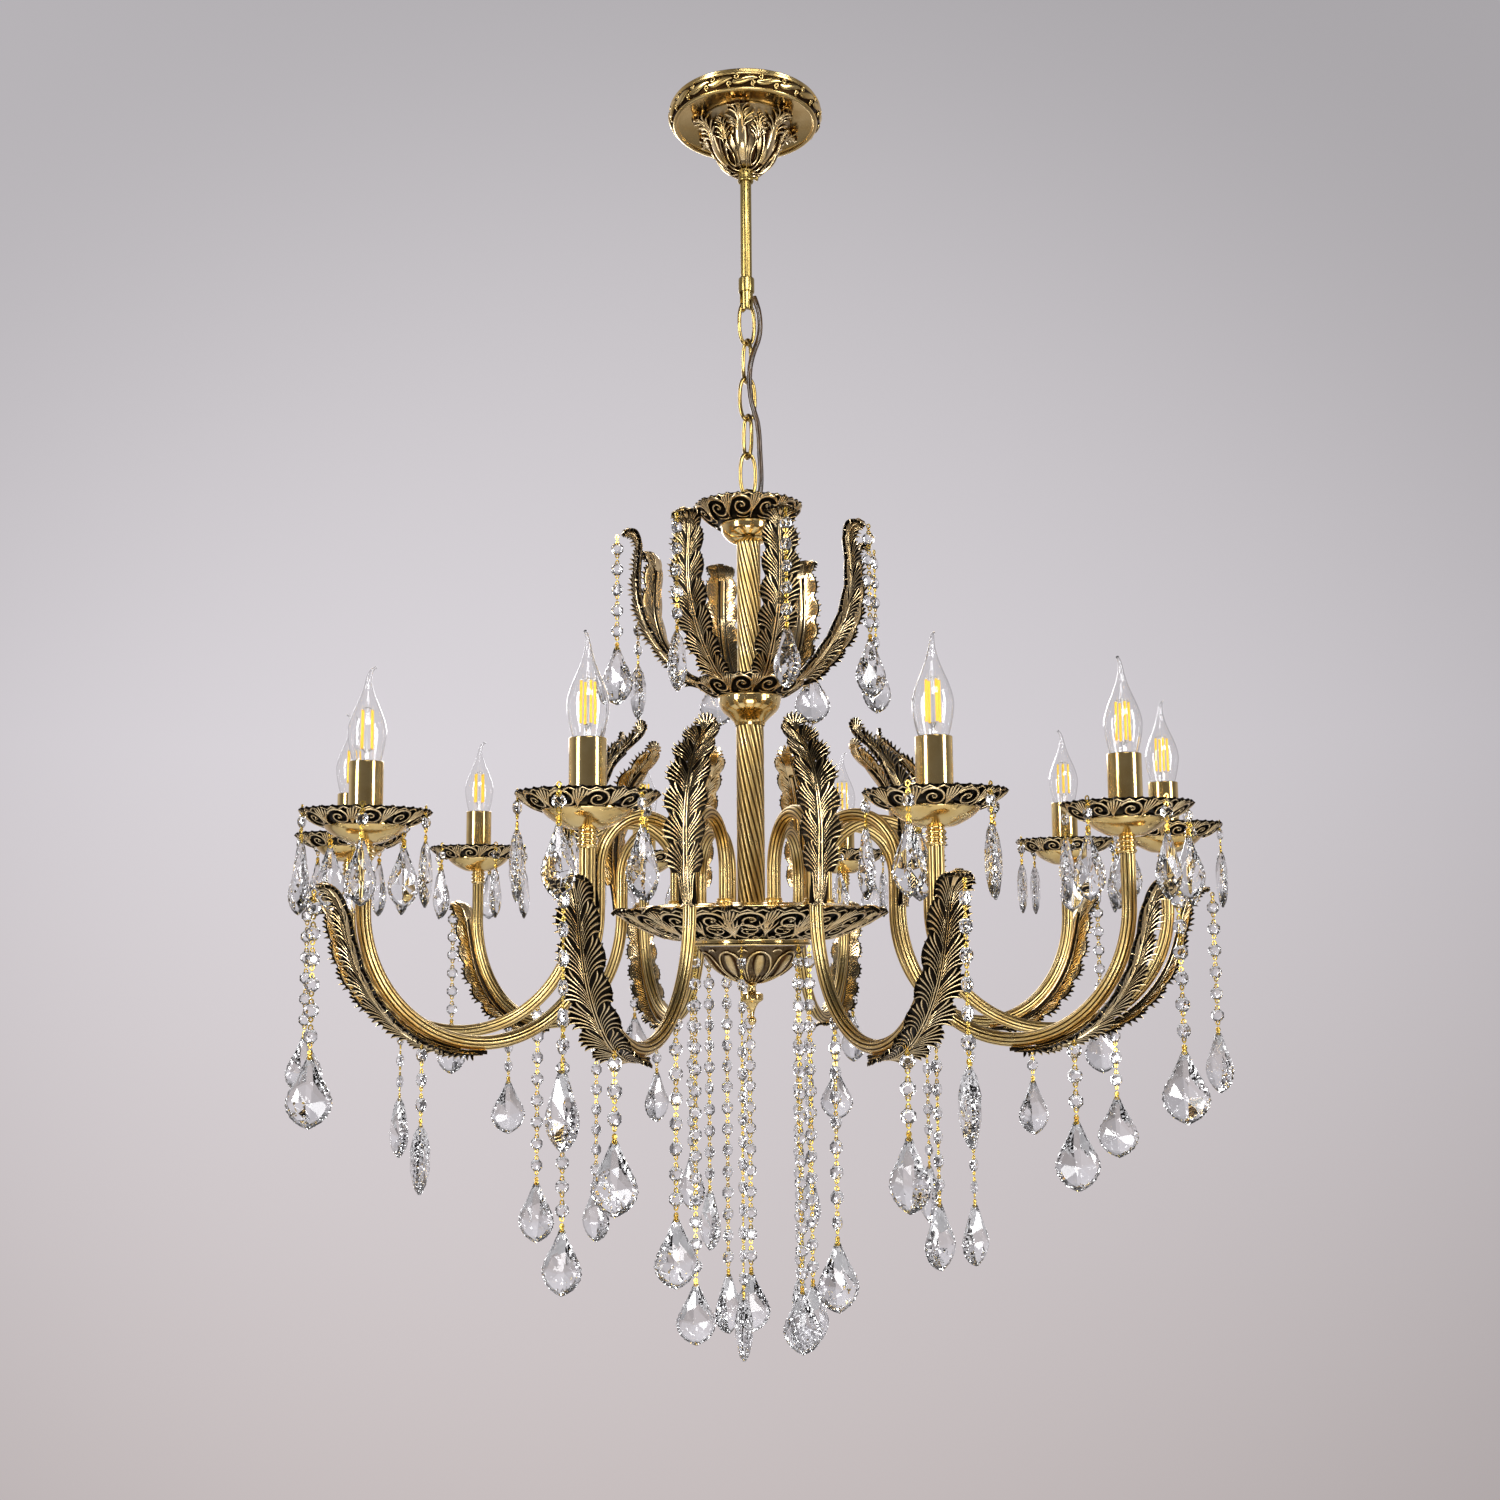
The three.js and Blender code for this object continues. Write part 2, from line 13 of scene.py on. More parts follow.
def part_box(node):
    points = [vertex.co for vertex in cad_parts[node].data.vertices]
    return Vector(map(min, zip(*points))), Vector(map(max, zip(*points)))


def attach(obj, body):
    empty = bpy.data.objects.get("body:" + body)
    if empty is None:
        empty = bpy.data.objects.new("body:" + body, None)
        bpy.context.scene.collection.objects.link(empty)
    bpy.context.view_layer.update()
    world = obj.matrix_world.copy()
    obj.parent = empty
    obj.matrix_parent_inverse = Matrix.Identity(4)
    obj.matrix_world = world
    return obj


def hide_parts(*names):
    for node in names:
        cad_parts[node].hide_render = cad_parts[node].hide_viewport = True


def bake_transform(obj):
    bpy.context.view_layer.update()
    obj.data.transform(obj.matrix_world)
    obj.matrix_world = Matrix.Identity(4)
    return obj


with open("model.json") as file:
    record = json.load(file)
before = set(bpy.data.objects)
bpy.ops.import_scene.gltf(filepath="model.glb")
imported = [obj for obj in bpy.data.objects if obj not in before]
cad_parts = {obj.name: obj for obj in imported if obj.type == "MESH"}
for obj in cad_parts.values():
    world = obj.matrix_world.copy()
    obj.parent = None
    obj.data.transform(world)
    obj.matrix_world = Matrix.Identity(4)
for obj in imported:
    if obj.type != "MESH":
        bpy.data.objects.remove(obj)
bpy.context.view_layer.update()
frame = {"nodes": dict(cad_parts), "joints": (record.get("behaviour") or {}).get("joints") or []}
MM = 0.001
JOINTS = {joint["name"]: joint for joint in frame["joints"]}


def top(node):
    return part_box(node)[1].z / MM


def bottom(node):
    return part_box(node)[0].z / MM


# Camera and stage ------------------------------------------------------------------------------

CAMERA_PLACE = (-0.0001, -1.708, -0.9475)
CAMERA_PITCH_DEG = 7.02
CAMERA_ROLL_DEG = -0.45
CAMERA_LENS = 38.18
FLOOR_HEIGHT = -2.45
FLOOR_RADIUS = 2.7
LIGHTS_AIM = (0, 0, -0.8)
# Each soft box: its name, its place and its size in metres, and its power in watts.
SOFT_BOXES = [
    ("soft_box_left", (-2.3, -1.9, -0.2), (0.6, 2.2), 62),
    ("soft_box_right", (2.3, -1.6, -0.3), (0.6, 2.2), 50),
    ("soft_box_front", (0.5, -2.6, 1.0), (1.6, 0.5), 30),
    ("soft_box_back", (-0.6, 2.6, 0.2), (1.8, 1.2), 38),
    ("soft_box_low", (0.2, -2.3, -1.9), (1.4, 0.6), 20),
]


def make_camera():
    data = bpy.data.cameras.new("camera")
    data.lens = CAMERA_LENS
    data.sensor_width = 36
    camera = bpy.data.objects.new("camera", data)
    bpy.context.scene.collection.objects.link(camera)
    tilt = Matrix.Rotation(math.radians(90 + CAMERA_PITCH_DEG), 4, "X")
    roll = Matrix.Rotation(math.radians(CAMERA_ROLL_DEG), 4, "Z")
    camera.matrix_world = Matrix.Translation(CAMERA_PLACE) @ tilt @ roll
    bpy.context.scene.camera = camera


def area_light(name, place, size, power):
    data = bpy.data.lights.new(name, "AREA")
    data.shape = "RECTANGLE"
    data.size, data.size_y = size
    data.energy = power
    lamp = bpy.data.objects.new(name, data)
    bpy.context.scene.collection.objects.link(lamp)
    lamp.location = place
    lamp.rotation_euler = (Vector(LIGHTS_AIM) - Vector(place)).to_track_quat("-Z", "Y").to_euler()
    return lamp


def make_studio():
    """A pale, even room: a soft gradient all round, darker overhead and underfoot, with large soft boxes."""
    scene = bpy.context.scene
    scene.view_settings.view_transform = "Standard"
    world = bpy.data.worlds.new("studio")
    scene.world = world
    world.use_nodes = True
    tree = world.node_tree
    tree.nodes.clear()
    where = tree.nodes.new("ShaderNodeTexCoord")
    split = tree.nodes.new("ShaderNodeSeparateXYZ")
    tree.links.new(where.outputs["Generated"], split.inputs[0])

    def ranged(axis, start, end, low, high, ease="SMOOTHSTEP"):
        node = tree.nodes.new("ShaderNodeMapRange")
        node.interpolation_type = ease
        for socket, value in (("From Min", start), ("From Max", end), ("To Min", low), ("To Max", high)):
            node.inputs[socket].default_value = value
        tree.links.new(split.outputs[axis], node.inputs["Value"])
        return node.outputs[0]

    def times(a, b):
        node = tree.nodes.new("ShaderNodeMath")
        node.operation = "MULTIPLY"
        tree.links.new(a, node.inputs[0])
        tree.links.new(b, node.inputs[1])
        return node.outputs[0]

    colour = ramp(tree, ranged("Z", -1, 1, 0, 1, "LINEAR"), [
        (0.0, (0.05, 0.045, 0.04)),
        (0.2, (0.12, 0.11, 0.10)),
        (0.34, (0.60, 0.54, 0.54)),
        (0.56, (0.70, 0.665, 0.70)),
        (0.78, (0.60, 0.575, 0.60)),
        (0.88, (0.14, 0.135, 0.14)),
        (1.0, (0.08, 0.08, 0.08)),
    ])
    room = times(ranged("Y", -0.25, 0.55, 0.30, 1.0), ranged("Y", 0.80, 1.0, 0.74, 1.02))
    shade = tree.nodes.new("ShaderNodeBackground")
    tree.links.new(times(room, ranged("X", -0.6, 0.6, 1.05, 0.86)), shade.inputs["Strength"])
    tree.links.new(colour, shade.inputs["Color"])
    out = tree.nodes.new("ShaderNodeOutputWorld")
    tree.links.new(shade.outputs[0], out.inputs[0])

    for name, place, size, power in SOFT_BOXES:
        lamp = area_light(name, place, size, power)
        lamp.visible_transmission = name != "soft_box_back"


# Shapes: points, faces, and how far each point stands up in the relief -------------------------------


def grid_faces(rows, cols, close_rows):
    """The faces between rows of points, where each row closes on itself."""
    i, j = np.meshgrid(np.arange(rows if close_rows else rows - 1), np.arange(cols), indexing="ij")
    below, right = (i + 1) % rows, (j + 1) % cols
    corners = [i * cols + j, i * cols + right, below * cols + right, below * cols + j]
    return np.stack(corners, -1).reshape(-1, 4)


def skin(points, relief=1.0, close_rows=False, caps=False):
    """A shape from rows of points. relief is one number, or one for each point."""
    rows, cols = points.shape[:2]
    faces = [grid_faces(rows, cols, close_rows)]
    if caps:
        faces.append(np.arange(cols)[None, ::-1])
        faces.append(np.arange(cols)[None, :] + (rows - 1) * cols)
    raised = np.broadcast_to(relief, (rows, cols)).reshape(-1)
    return {"points": points.reshape(-1, 3), "faces": faces, "relief": raised}


def join(shapes):
    points, faces, relief, offset = [], [], [], 0
    for shape in shapes:
        points.append(shape["points"])
        relief.append(shape["relief"])
        faces.extend(group + offset for group in shape["faces"])
        offset += len(shape["points"])
    return {"points": np.concatenate(points), "faces": faces, "relief": np.concatenate(relief)}


def moved(shape, matrix):
    spin = np.array(matrix.to_3x3())
    shift = np.array(matrix.translation)
    return {**shape, "points": shape["points"] @ spin.T + shift}


def around_z(degrees, radius=0.0, height=0.0):
    """The place of a piece that stands out from the Z axis at an angle, facing away from it."""
    return Matrix.Rotation(math.radians(degrees), 4, "Z") @ Matrix.Translation((radius, 0, height))


def spline(points, steps, closed=False):
    """A smooth curve through the points, evenly divided between each two of them."""
    points = np.asarray(points, float)
    if closed:
        padded = np.vstack([points[-1], points, points[:2]])
    else:
        padded = np.vstack([2 * points[0] - points[1], points, 2 * points[-1] - points[-2]])
    t = np.linspace(0, 1, steps, endpoint=False)[:, None]
    pieces = []
    for a, b, c, d in zip(padded, padded[1:], padded[2:], padded[3:]):
        bend = (2 * a - 5 * b + 4 * c - d) * t**2 + (3 * b - a - 3 * c + d) * t**3
        pieces.append(0.5 * (2 * b + (c - a) * t + bend))
    curve = np.vstack(pieces)
    return curve if closed else np.vstack([curve, points[-1]])


def turned(profile, sides=96, closed=False, relief=1.0):
    """A profile of [radius, height] turned about Z."""
    profile = np.asarray(profile, float)
    angles = np.linspace(0, 2 * np.pi, sides, endpoint=False)
    radius = np.repeat(profile[:, :1], sides, 1)
    height = np.repeat(profile[:, 1:2], sides, 1)
    points = np.stack([radius * np.cos(angles), radius * np.sin(angles), height], -1)
    return skin(points, relief, close_rows=closed)


def rounded(corners, radius=0.6, steps=3):
    """The outline with each of its corners eased over by a small arc. It closes on itself."""
    corners = np.asarray(corners, float)
    corners = corners[np.linalg.norm(corners - np.roll(corners, 1, 0), axis=1) > 1e-6]
    eased = []
    for before, here, after in zip(np.roll(corners, 1, 0), corners, np.roll(corners, -1, 0)):
        back, on = before - here, after - here
        cut = min(radius, 0.4 * np.linalg.norm(back), 0.4 * np.linalg.norm(on))
        start, end = here + back / np.linalg.norm(back) * cut, here + on / np.linalg.norm(on) * cut
        for t in np.linspace(0, 1, steps):
            eased.append((1 - t) ** 2 * start + 2 * t * (1 - t) * here + t**2 * end)
    return np.array(eased)


def swept(path, section, closed=False, caps=True, up=(0, 0, 1), scale=None, relief=1.0):
    """A section of [across, out] carried along a path with as little twist as it can."""
    path = np.asarray(path, float)
    if closed:
        tangent = np.roll(path, -1, 0) - np.roll(path, 1, 0)
    else:
        tangent = np.gradient(path, axis=0)
    tangent /= np.linalg.norm(tangent, axis=1)[:, None]
    side = np.cross(tangent[0], np.asarray(up, float))
    if np.linalg.norm(side) < 1e-3:
        side = np.cross(tangent[0], (1.0, 0.0, 0.0))
    sides = []
    for along in tangent:
        side = side - along * (side @ along)
        side /= np.linalg.norm(side)
        sides.append(side)
    sides = np.array(sides)
    outs = np.cross(sides, tangent)
    section = np.asarray(section, float)
    size = np.ones(len(path)) if scale is None else np.asarray(scale, float)
    section = section[None] * size[:, None, None]
    points = path[:, None] + section[..., :1] * sides[:, None] + section[..., 1:] * outs[:, None]
    return skin(points, relief, close_rows=closed, caps=caps and not closed)


def circle(radius, sides):
    angles = np.linspace(0, 2 * np.pi, sides, endpoint=False)
    return np.stack([radius * np.cos(angles), radius * np.sin(angles)], -1)


def ball(radius, centre, sides):
    angles = np.linspace(-np.pi / 2, np.pi / 2, max(5, sides // 2 + 1))
    profile = np.stack([radius * np.cos(angles), radius * np.sin(angles)], -1)
    return moved(turned(profile, sides), Matrix.Translation(centre))


# Relief: raised strokes that are laid on a surface -----------------------------------------------

STROKE_ACROSS = np.array([-1, -0.86, -0.6, -0.3, 0, 0.3, 0.6, 0.86, 1, 0.8, -0.8])
STROKE_HEIGHT = np.array([0, 0.5, 0.86, 0.98, 1.0, 0.98, 0.86, 0.5, 0, 0, 0])
STROKE_RELIEF = np.array([0.0, 0.1, 0.62, 1.0, 1.0, 1.0, 0.62, 0.1, 0.0, 0.0, 0.0])
STROKE_FLOOR = np.array([0, 0, 0, 0, 0, 0, 0, 0, 0, 1, 1])
ALONG = np.linspace(0, 1, 11)  # how far along a finger each of its points is


def stroke(path, half_width, height, lay, lift=0.0, floor=1.2, relief=1.0):
    """One raised rib. path is [across, along] on the surface that lay(across, along, up) bends to its
    place, and floor is how far it reaches into that surface. Its underside is always bare metal."""
    path = np.asarray(path, float)
    count = len(path)
    run = np.gradient(path, axis=0)
    run /= np.linalg.norm(run, axis=1)[:, None] + 1e-9
    beside = np.stack([run[:, 1], -run[:, 0]], -1)
    half = np.broadcast_to(half_width, count)[:, None]
    tall = np.broadcast_to(height, count)[:, None]
    lift = np.broadcast_to(lift, count)[:, None]
    flat = path[:, None] + beside[:, None] * (half * STROKE_ACROSS)[..., None]
    up = lift + tall * STROKE_HEIGHT - floor * STROKE_FLOOR
    return skin(lay(flat[..., 0], flat[..., 1], up), STROKE_RELIEF * relief + STROKE_FLOOR, caps=True)


def bezier(a, b, c, d, steps=len(ALONG)):
    t = np.linspace(0, 1, steps)[:, None]
    a, b, c, d = (np.asarray(p, float) for p in (a, b, c, d))
    return (1 - t) ** 3 * a + 3 * t * (1 - t) ** 2 * b + 3 * t**2 * (1 - t) * c + t**3 * d


def run_along(curve):
    """The length of a curve, and a function that gives its points, its directions, and how far past an end."""
    curve = np.asarray(curve, float)
    step = np.linalg.norm(np.diff(curve, axis=0), axis=1)
    length = np.concatenate([[0], np.cumsum(step)])
    tangent = np.gradient(curve, axis=0)
    tangent /= np.linalg.norm(tangent, axis=1)[:, None]

    def at(along):
        inside = np.clip(along, 0, length[-1])
        point = [np.interp(inside, length, curve[:, k]) for k in (0, 1)]
        heading = [np.interp(inside, length, tangent[:, k]) for k in (0, 1)]
        return point, heading, along - inside

    return length[-1], at


def on_spine(spine, cup=0.0, half_width=20.0):
    """The surface of a leaf: its spine is [out, height] in the XZ plane, and its sides curl by cup."""
    length, at = run_along(spine)

    def lay(across, along, up):
        p, t, over = at(along)
        up = up + cup * (across / half_width) ** 2
        return np.stack([p[0] + t[0] * over + t[1] * up, across, p[1] + t[1] * over - t[0] * up], -1)

    return lay, length


def on_band(profile, radius):
    """The outside of a turned band. across is measured round it at the radius, and along runs down it."""
    length, at = run_along(profile)

    def lay(across, along, up):
        p, t, over = at(along)
        out = p[0] + t[0] * over - t[1] * up
        angle = across / radius
        return np.stack([out * np.cos(angle), out * np.sin(angle), p[1] + t[1] * over + t[0] * up], -1)

    return lay, length


def patch(x, pitch, length):
    """A function from shares of a pattern's pitch and of a band's length to a place on the band, from x."""
    return lambda across, along: (x + across * pitch, along * length)


def finger_width(size):
    return size * (0.5 + 0.5 * np.sin(np.pi * ALONG**0.85)) * np.sqrt(1 - 0.96 * ALONG**7)


def slim_finger(size):
    return size * (0.40 + 1.1 * ALONG**1.8) * np.sqrt(1 - 0.96 * ALONG**12)


FINGERS = 6
FINGER_FEET = (-0.20, 0.46)
LOBE_MIDDLE = (0.46, 0.62)
LOBE_SPREAD = (0.54, 0.60)


def leaf_lobe(lay, side, root, reach, pitch, width, curl, rng):
    """One lobe of a leaf: fingers that start along the midrib and fan out to a round edge, on a dark web."""
    made = []
    for k, turn in enumerate(np.radians(np.linspace(118, 8, FINGERS))):
        out = LOBE_MIDDLE[0] + LOBE_SPREAD[0] * math.sin(turn) * rng.uniform(0.95, 1.04)
        on = LOBE_MIDDLE[1] + LOBE_SPREAD[1] * math.cos(turn) + rng.uniform(-0.02, 0.02)
        start = np.array([side * 0.045 * width, root + np.interp(k, (0, FINGERS - 1), FINGER_FEET) * pitch])
        end = np.array([side * reach * out, root + on * pitch])
        run = np.linalg.norm(end - start)
        flare = np.array([side * math.sin(0.85 * turn), math.cos(0.85 * turn)])
        path = bezier(start, start + (side * 0.10 * run, 0.34 * run), end - 0.36 * run * flare, end)
        lift = 0.3 + curl * ALONG**3 * (1 - 0.10 * k)
        made.append(stroke(path, slim_finger(0.028 * width), 3.2 - 0.7 * ALONG, lay, lift, 0.9 + 0.03 * k))
    web = np.stack([np.full(12, side * 0.48 * reach), root + np.linspace(0.10, 1.16, 12) * pitch], -1)
    half_web = 0.47 * reach * np.sin(np.linspace(0.5, 2.75, 12))
    made.append(stroke(web, half_web, 0.5, lay, 0.5 * curl, 1.3, relief=0.0))
    return made


def leaf(spine, width, lobes, lobe_share, curl, cup, tip):
    """A cast acanthus leaf: a grooved midrib, lobes of fingers on each side, and sprays at its tip and foot."""
    half = width / 2
    lay, length = on_spine(spline(spine, 8), cup, half)
    made = []
    rng = np.random.default_rng(lobes)
    pitch = length * (lobe_share[1] - lobe_share[0]) / lobes
    for lobe in range(lobes):
        root = length * lobe_share[0] + pitch * (lobe - 0.15)
        reach = half * math.sin(math.pi * (0.20 + 0.62 * (lobe + 0.5) / lobes)) ** 0.55
        for side in (-1, 1):
            made += leaf_lobe(lay, side, root, reach, pitch, width, curl, rng)
        if lobe % 2:
            made.append(button(lay, (0, root + 0.1 * pitch), 1.9, 4.4))
    rib = np.stack([np.zeros(24), np.linspace(0.5, length * 0.95, 24)], -1)
    taper = np.linspace(1, 0.45, 24)
    for side in (-1, 1):
        beside = rib + np.stack([side * 0.036 * width * taper, 0 * taper], -1)
        made.append(stroke(beside, 0.03 * width * taper, 3.4 * taper + 0.6, lay, 0.2, floor=1.4))
    made.append(stroke(rib, 0.2 * width * taper, 0.6, lay, 0.0, floor=1.6, relief=0.0))
    for k, angle in enumerate((-92, -62, -34, -11, 11, 34, 62, 92)):
        lean = math.radians(angle)
        end = (tip * 1.05 * math.sin(lean), length * 0.93 + tip * (0.35 + 0.95 * math.cos(lean)))
        spray = patch(0, end[0], length)
        path = bezier(spray(0.12, 0.88), spray(0.2, 0.93), spray(0.5, 0.965), end)
        lift = 0.6 + 2.2 * ALONG**2
        made.append(stroke(path, slim_finger(0.032 * width), 2.8 - 0.6 * ALONG, lay, lift, 1.5 + 0.04 * k))
    palm = np.array([(0, length * 0.9), (0, length * 0.94), (0, length * 0.97)])
    made.append(stroke(palm, 0.5 * tip, 0.5, lay, 0.6, floor=1.5, relief=0.0))
    for k, angle in enumerate((-55, -20, 20, 55)):
        lean = math.radians(angle)
        path = bezier((0, 7), (0, 3), (5 * math.sin(lean), 0), (9 * math.sin(lean), 1 - 4 * math.cos(lean)))
        made.append(stroke(path, finger_width(0.05 * width), 2.2, lay, 0.5, floor=1.4 + 0.04 * k))
    return join(made)


def button(lay, place, radius, height):
    """A small round rivet head with a ring round it, standing on a surface. place is [across, along]."""
    profile = [[0, 1], [0.45, 0.95], [0.62, 0.7], [0.66, 0.45], [0.82, 0.62], [1, 0.4], [1.05, -0.6]]
    angles = np.linspace(0, 2 * np.pi, 12, endpoint=False)
    r, h = np.array(profile).T[:, :, None]
    across, along = place[0] + radius * r * np.cos(angles), place[1] + radius * r * np.sin(angles)
    points = lay(across, along, height * h + 0 * angles)
    return skin(points, np.array([1, 0.9, 0.3, 0.0, 0.9, 0.4, 0.0])[:, None])


def behind(lay):
    """The other side of a surface."""
    return lambda across, along, up: lay(across, along, -up)


def scroll(centre, radius, turns, facing, steps=30, hand=1):
    """A spiral that winds in to its centre."""
    u = np.linspace(0, 1, steps)
    angle = math.radians(facing) + hand * 2 * np.pi * turns * u
    reach = radius * (1 - u) ** 0.8 + 0.12 * radius
    return np.stack([centre[0] + reach * np.cos(angle), centre[1] + reach * np.sin(angle)], -1)


def scroll_border(profile, radius, repeats, body=1.0, wing=3.0):
    """A band of spirals with little fans of leaves between them, on the outside of a turned profile."""
    lay, length = on_band(profile, radius)
    pitch = 2 * math.pi * radius / repeats
    across = np.linspace(0, 2 * math.pi * radius, 12 * repeats + 1)
    edge = np.stack([across, 0.4 + 1.5 * body * np.sin(6 * math.pi * across / pitch)], -1)
    made = [stroke(edge, 1.15 * body, 1.8 * body, lay, 0.5, floor=1.2)]
    for i in range(repeats):
        x = i * pitch
        at = patch(x, pitch, length)
        size = 0.42 * length
        path = scroll(at(0, 0.5), size, 1.5, -150)
        width = np.linspace(0.19, 0.11, len(path)) * size
        made.append(stroke(path, width, body * np.linspace(2.6, 1.8, len(path)), lay, 0.2, floor=1.0))
        made.append(button(lay, at(0, 0.5), 0.2 * size, body * 2.6))
        for k in range(5):
            fan = k / 4
            off_centre = abs(fan - 0.5)
            foot, aside = 0.36, 0.36 + 0.34 * fan
            end = (x + pitch * aside, -wing * (1 - off_centre) + 0.16 * length * off_centre)
            path = bezier(at(foot, 0.98), at(foot + 0.02, 0.6), at(aside - 0.03, 0.35), end)
            width = slim_finger(0.044 * pitch)
            made.append(stroke(path, width, body * (3.0 - 0.6 * ALONG), lay, ALONG**2, floor=1.0))
        under = bezier(at(-0.3, 0.9), at(-0.1, 1.06), at(0.15, 1.06), at(0.3, 0.92))
        made.append(stroke(under, finger_width(0.05 * pitch), body * 1.6, lay, 0.2, floor=1.0))
    return join(made)


# Materials -------------------------------------------------------------------------------------------


def new_material(name):
    material = bpy.data.materials.new(name)
    material.use_nodes = True
    return material, material.node_tree, material.node_tree.nodes["Principled BSDF"]


def noise(tree, scale, detail=4, stretch=(1, 1, 1)):
    where = tree.nodes.new("ShaderNodeTexCoord")
    mapping = tree.nodes.new("ShaderNodeMapping")
    mapping.inputs["Scale"].default_value = stretch
    texture = tree.nodes.new("ShaderNodeTexNoise")
    texture.inputs["Scale"].default_value = scale
    texture.inputs["Detail"].default_value = detail
    tree.links.new(where.outputs["Object"], mapping.inputs["Vector"])
    tree.links.new(mapping.outputs[0], texture.inputs["Vector"])
    return texture.outputs["Fac"]


def ramp(tree, value, stops):
    node = tree.nodes.new("ShaderNodeValToRGB")
    elements = node.color_ramp.elements
    while len(elements) < len(stops):
        elements.new(0.5)
    for element, (place, colour) in zip(elements, stops):
        element.position = place
        element.color = (*colour, 1) if isinstance(colour, tuple) else (colour, colour, colour, 1)
    tree.links.new(value, node.inputs[0])
    return node.outputs[0]


def mixed(tree, share, a, b):
    node = tree.nodes.new("ShaderNodeMix")
    node.data_type = "RGBA"
    tree.links.new(share, node.inputs[0])
    for socket, value in ((node.inputs[6], a), (node.inputs[7], b)):
        if isinstance(value, bpy.types.NodeSocket):
            tree.links.new(value, socket)
        else:
            socket.default_value = (*value, 1) if isinstance(value, tuple) else (value, value, value, 1)
    return node.outputs[2]


def bump(tree, shader, height, strength, distance):
    node = tree.nodes.new("ShaderNodeBump")
    node.inputs["Strength"].default_value = strength
    node.inputs["Distance"].default_value = distance
    tree.links.new(height, node.inputs["Height"])
    tree.links.new(node.outputs[0], shader.inputs["Normal"])


def gold(name, bright, deep, roughness, groove, patina_and_shade=(0.012, 0.009, 0.006), grain=0.15, speckle=0.22):
    """Plated metal, with a dark colour left where the relief is low: patina in the hollows of the cast relief,
    and painted shade in the flutes of the fluted gold. groove is (dark below, bare metal above).
    """
    material, tree, shader = new_material(name)
    height = tree.nodes.new("ShaderNodeAttribute")
    height.attribute_name = "relief"
    blotches = noise(tree, 45)
    specks = noise(tree, 420, 6)
    metal = mixed(tree, ramp(tree, blotches, [(0.35, 0.0), (0.68, 1.0)]), bright, deep)
    edge = tree.nodes.new("ShaderNodeMath")
    edge.operation = "MULTIPLY_ADD"
    edge.inputs[1].default_value = speckle
    tree.links.new(specks, edge.inputs[0])
    tree.links.new(height.outputs["Fac"], edge.inputs[2])
    # The dark colour below the groove range is patina on the cast relief, and painted shade in the flutes of the
    # fluted gold.
    clean_and_unshaded = ramp(tree, edge.outputs[0], [(groove[0] + 0.5 * speckle, 0.0), (groove[1] + 0.5 * speckle, 1.0)])
    tree.links.new(mixed(tree, clean_and_unshaded, patina_and_shade, metal), shader.inputs["Base Color"])
    smooth = ramp(tree, blotches, [(0.3, roughness * 0.8), (0.7, roughness * 1.35)])
    tree.links.new(mixed(tree, clean_and_unshaded, 0.42, smooth), shader.inputs["Roughness"])
    shader.inputs["Metallic"].default_value = 1.0
    bump(tree, shader, specks, grain, 0.0004)
    return material


def plain_material(name, scale, detail, stretch, colours, roughness, **numbers):
    """A material whose colour runs between two ends of a noise. roughness is a number, or stops along it.
    Gives back the grain too, for a bump."""
    material, tree, shader = new_material(name)
    grain = noise(tree, scale, detail, stretch)
    tree.links.new(ramp(tree, grain, colours), shader.inputs["Base Color"])
    if isinstance(roughness, list):
        tree.links.new(ramp(tree, grain, roughness), shader.inputs["Roughness"])
    else:
        shader.inputs["Roughness"].default_value = roughness
    for socket, value in numbers.items():
        shader.inputs[socket.replace("_", " ")].default_value = value
    return material, tree, shader, grain


def steel_material():
    colours = [(0.3, (0.42, 0.42, 0.43)), (0.7, (0.62, 0.62, 0.60))]
    roughness = [(0.3, 0.28), (0.7, 0.46)]
    material, tree, shader, grain = plain_material("zinc_plated_steel", 160, 4, (1, 12, 1), colours, roughness,
                                                   Metallic=1.0)
    bump(tree, shader, grain, 0.2, 0.0003)
    return material


def glass_material(name, ior, colour, smear):
    material, tree, shader = new_material(name)
    shader.inputs["Base Color"].default_value = (*colour, 1)
    shader.inputs["Transmission Weight"].default_value = 1.0
    shader.inputs["IOR"].default_value = ior
    marks = noise(tree, 90, 3)
    tree.links.new(ramp(tree, marks, [(0.4, 0.0), (0.8, smear)]), shader.inputs["Roughness"])
    return material


def filament_material():
    colours = [(0.35, (0.95, 0.55, 0.03)), (0.65, (1.0, 0.72, 0.10))]
    # The emission paints a glow on the filament sticks, though the bulbs are not lit.
    material, tree, shader, grain = plain_material("yellow_filament_painted_glow", 1500, 3, (1, 1, 1), colours, 0.5,
                                                   Emission_Color=(1.0, 0.62, 0.05, 1), Emission_Strength=0.55)
    bump(tree, shader, grain, 0.4, 0.0002)
    return material


def cable_material():
    colours = [(0.35, (0.022, 0.011, 0.004)), (0.7, (0.10, 0.052, 0.016))]
    material, tree, shader, grain = plain_material("brown_cable_skin", 300, 3, (1, 1, 0.2), colours, 0.24,
                                                   Coat_Weight=0.25, Coat_Roughness=0.08)
    bump(tree, shader, grain, 0.25, 0.0004)
    return material


def ceramic_material():
    colours = [(0.3, (0.62, 0.60, 0.55)), (0.7, (0.78, 0.76, 0.71))]
    material, tree, shader, grain = plain_material("lamp_holder_insert", 200, 4, (1, 1, 1), colours, 0.4)
    bump(tree, shader, grain, 0.1, 0.0003)
    return material


def floor_material():
    colours = [(0.3, (0.70, 0.69, 0.70)), (0.7, (0.76, 0.75, 0.76))]
    return plain_material("pale_floor", 1.5, 3, (1, 1, 1), colours, 0.6)[0]


# Making pieces ---------------------------------------------------------------------------------------


SHARP_DEG = 38


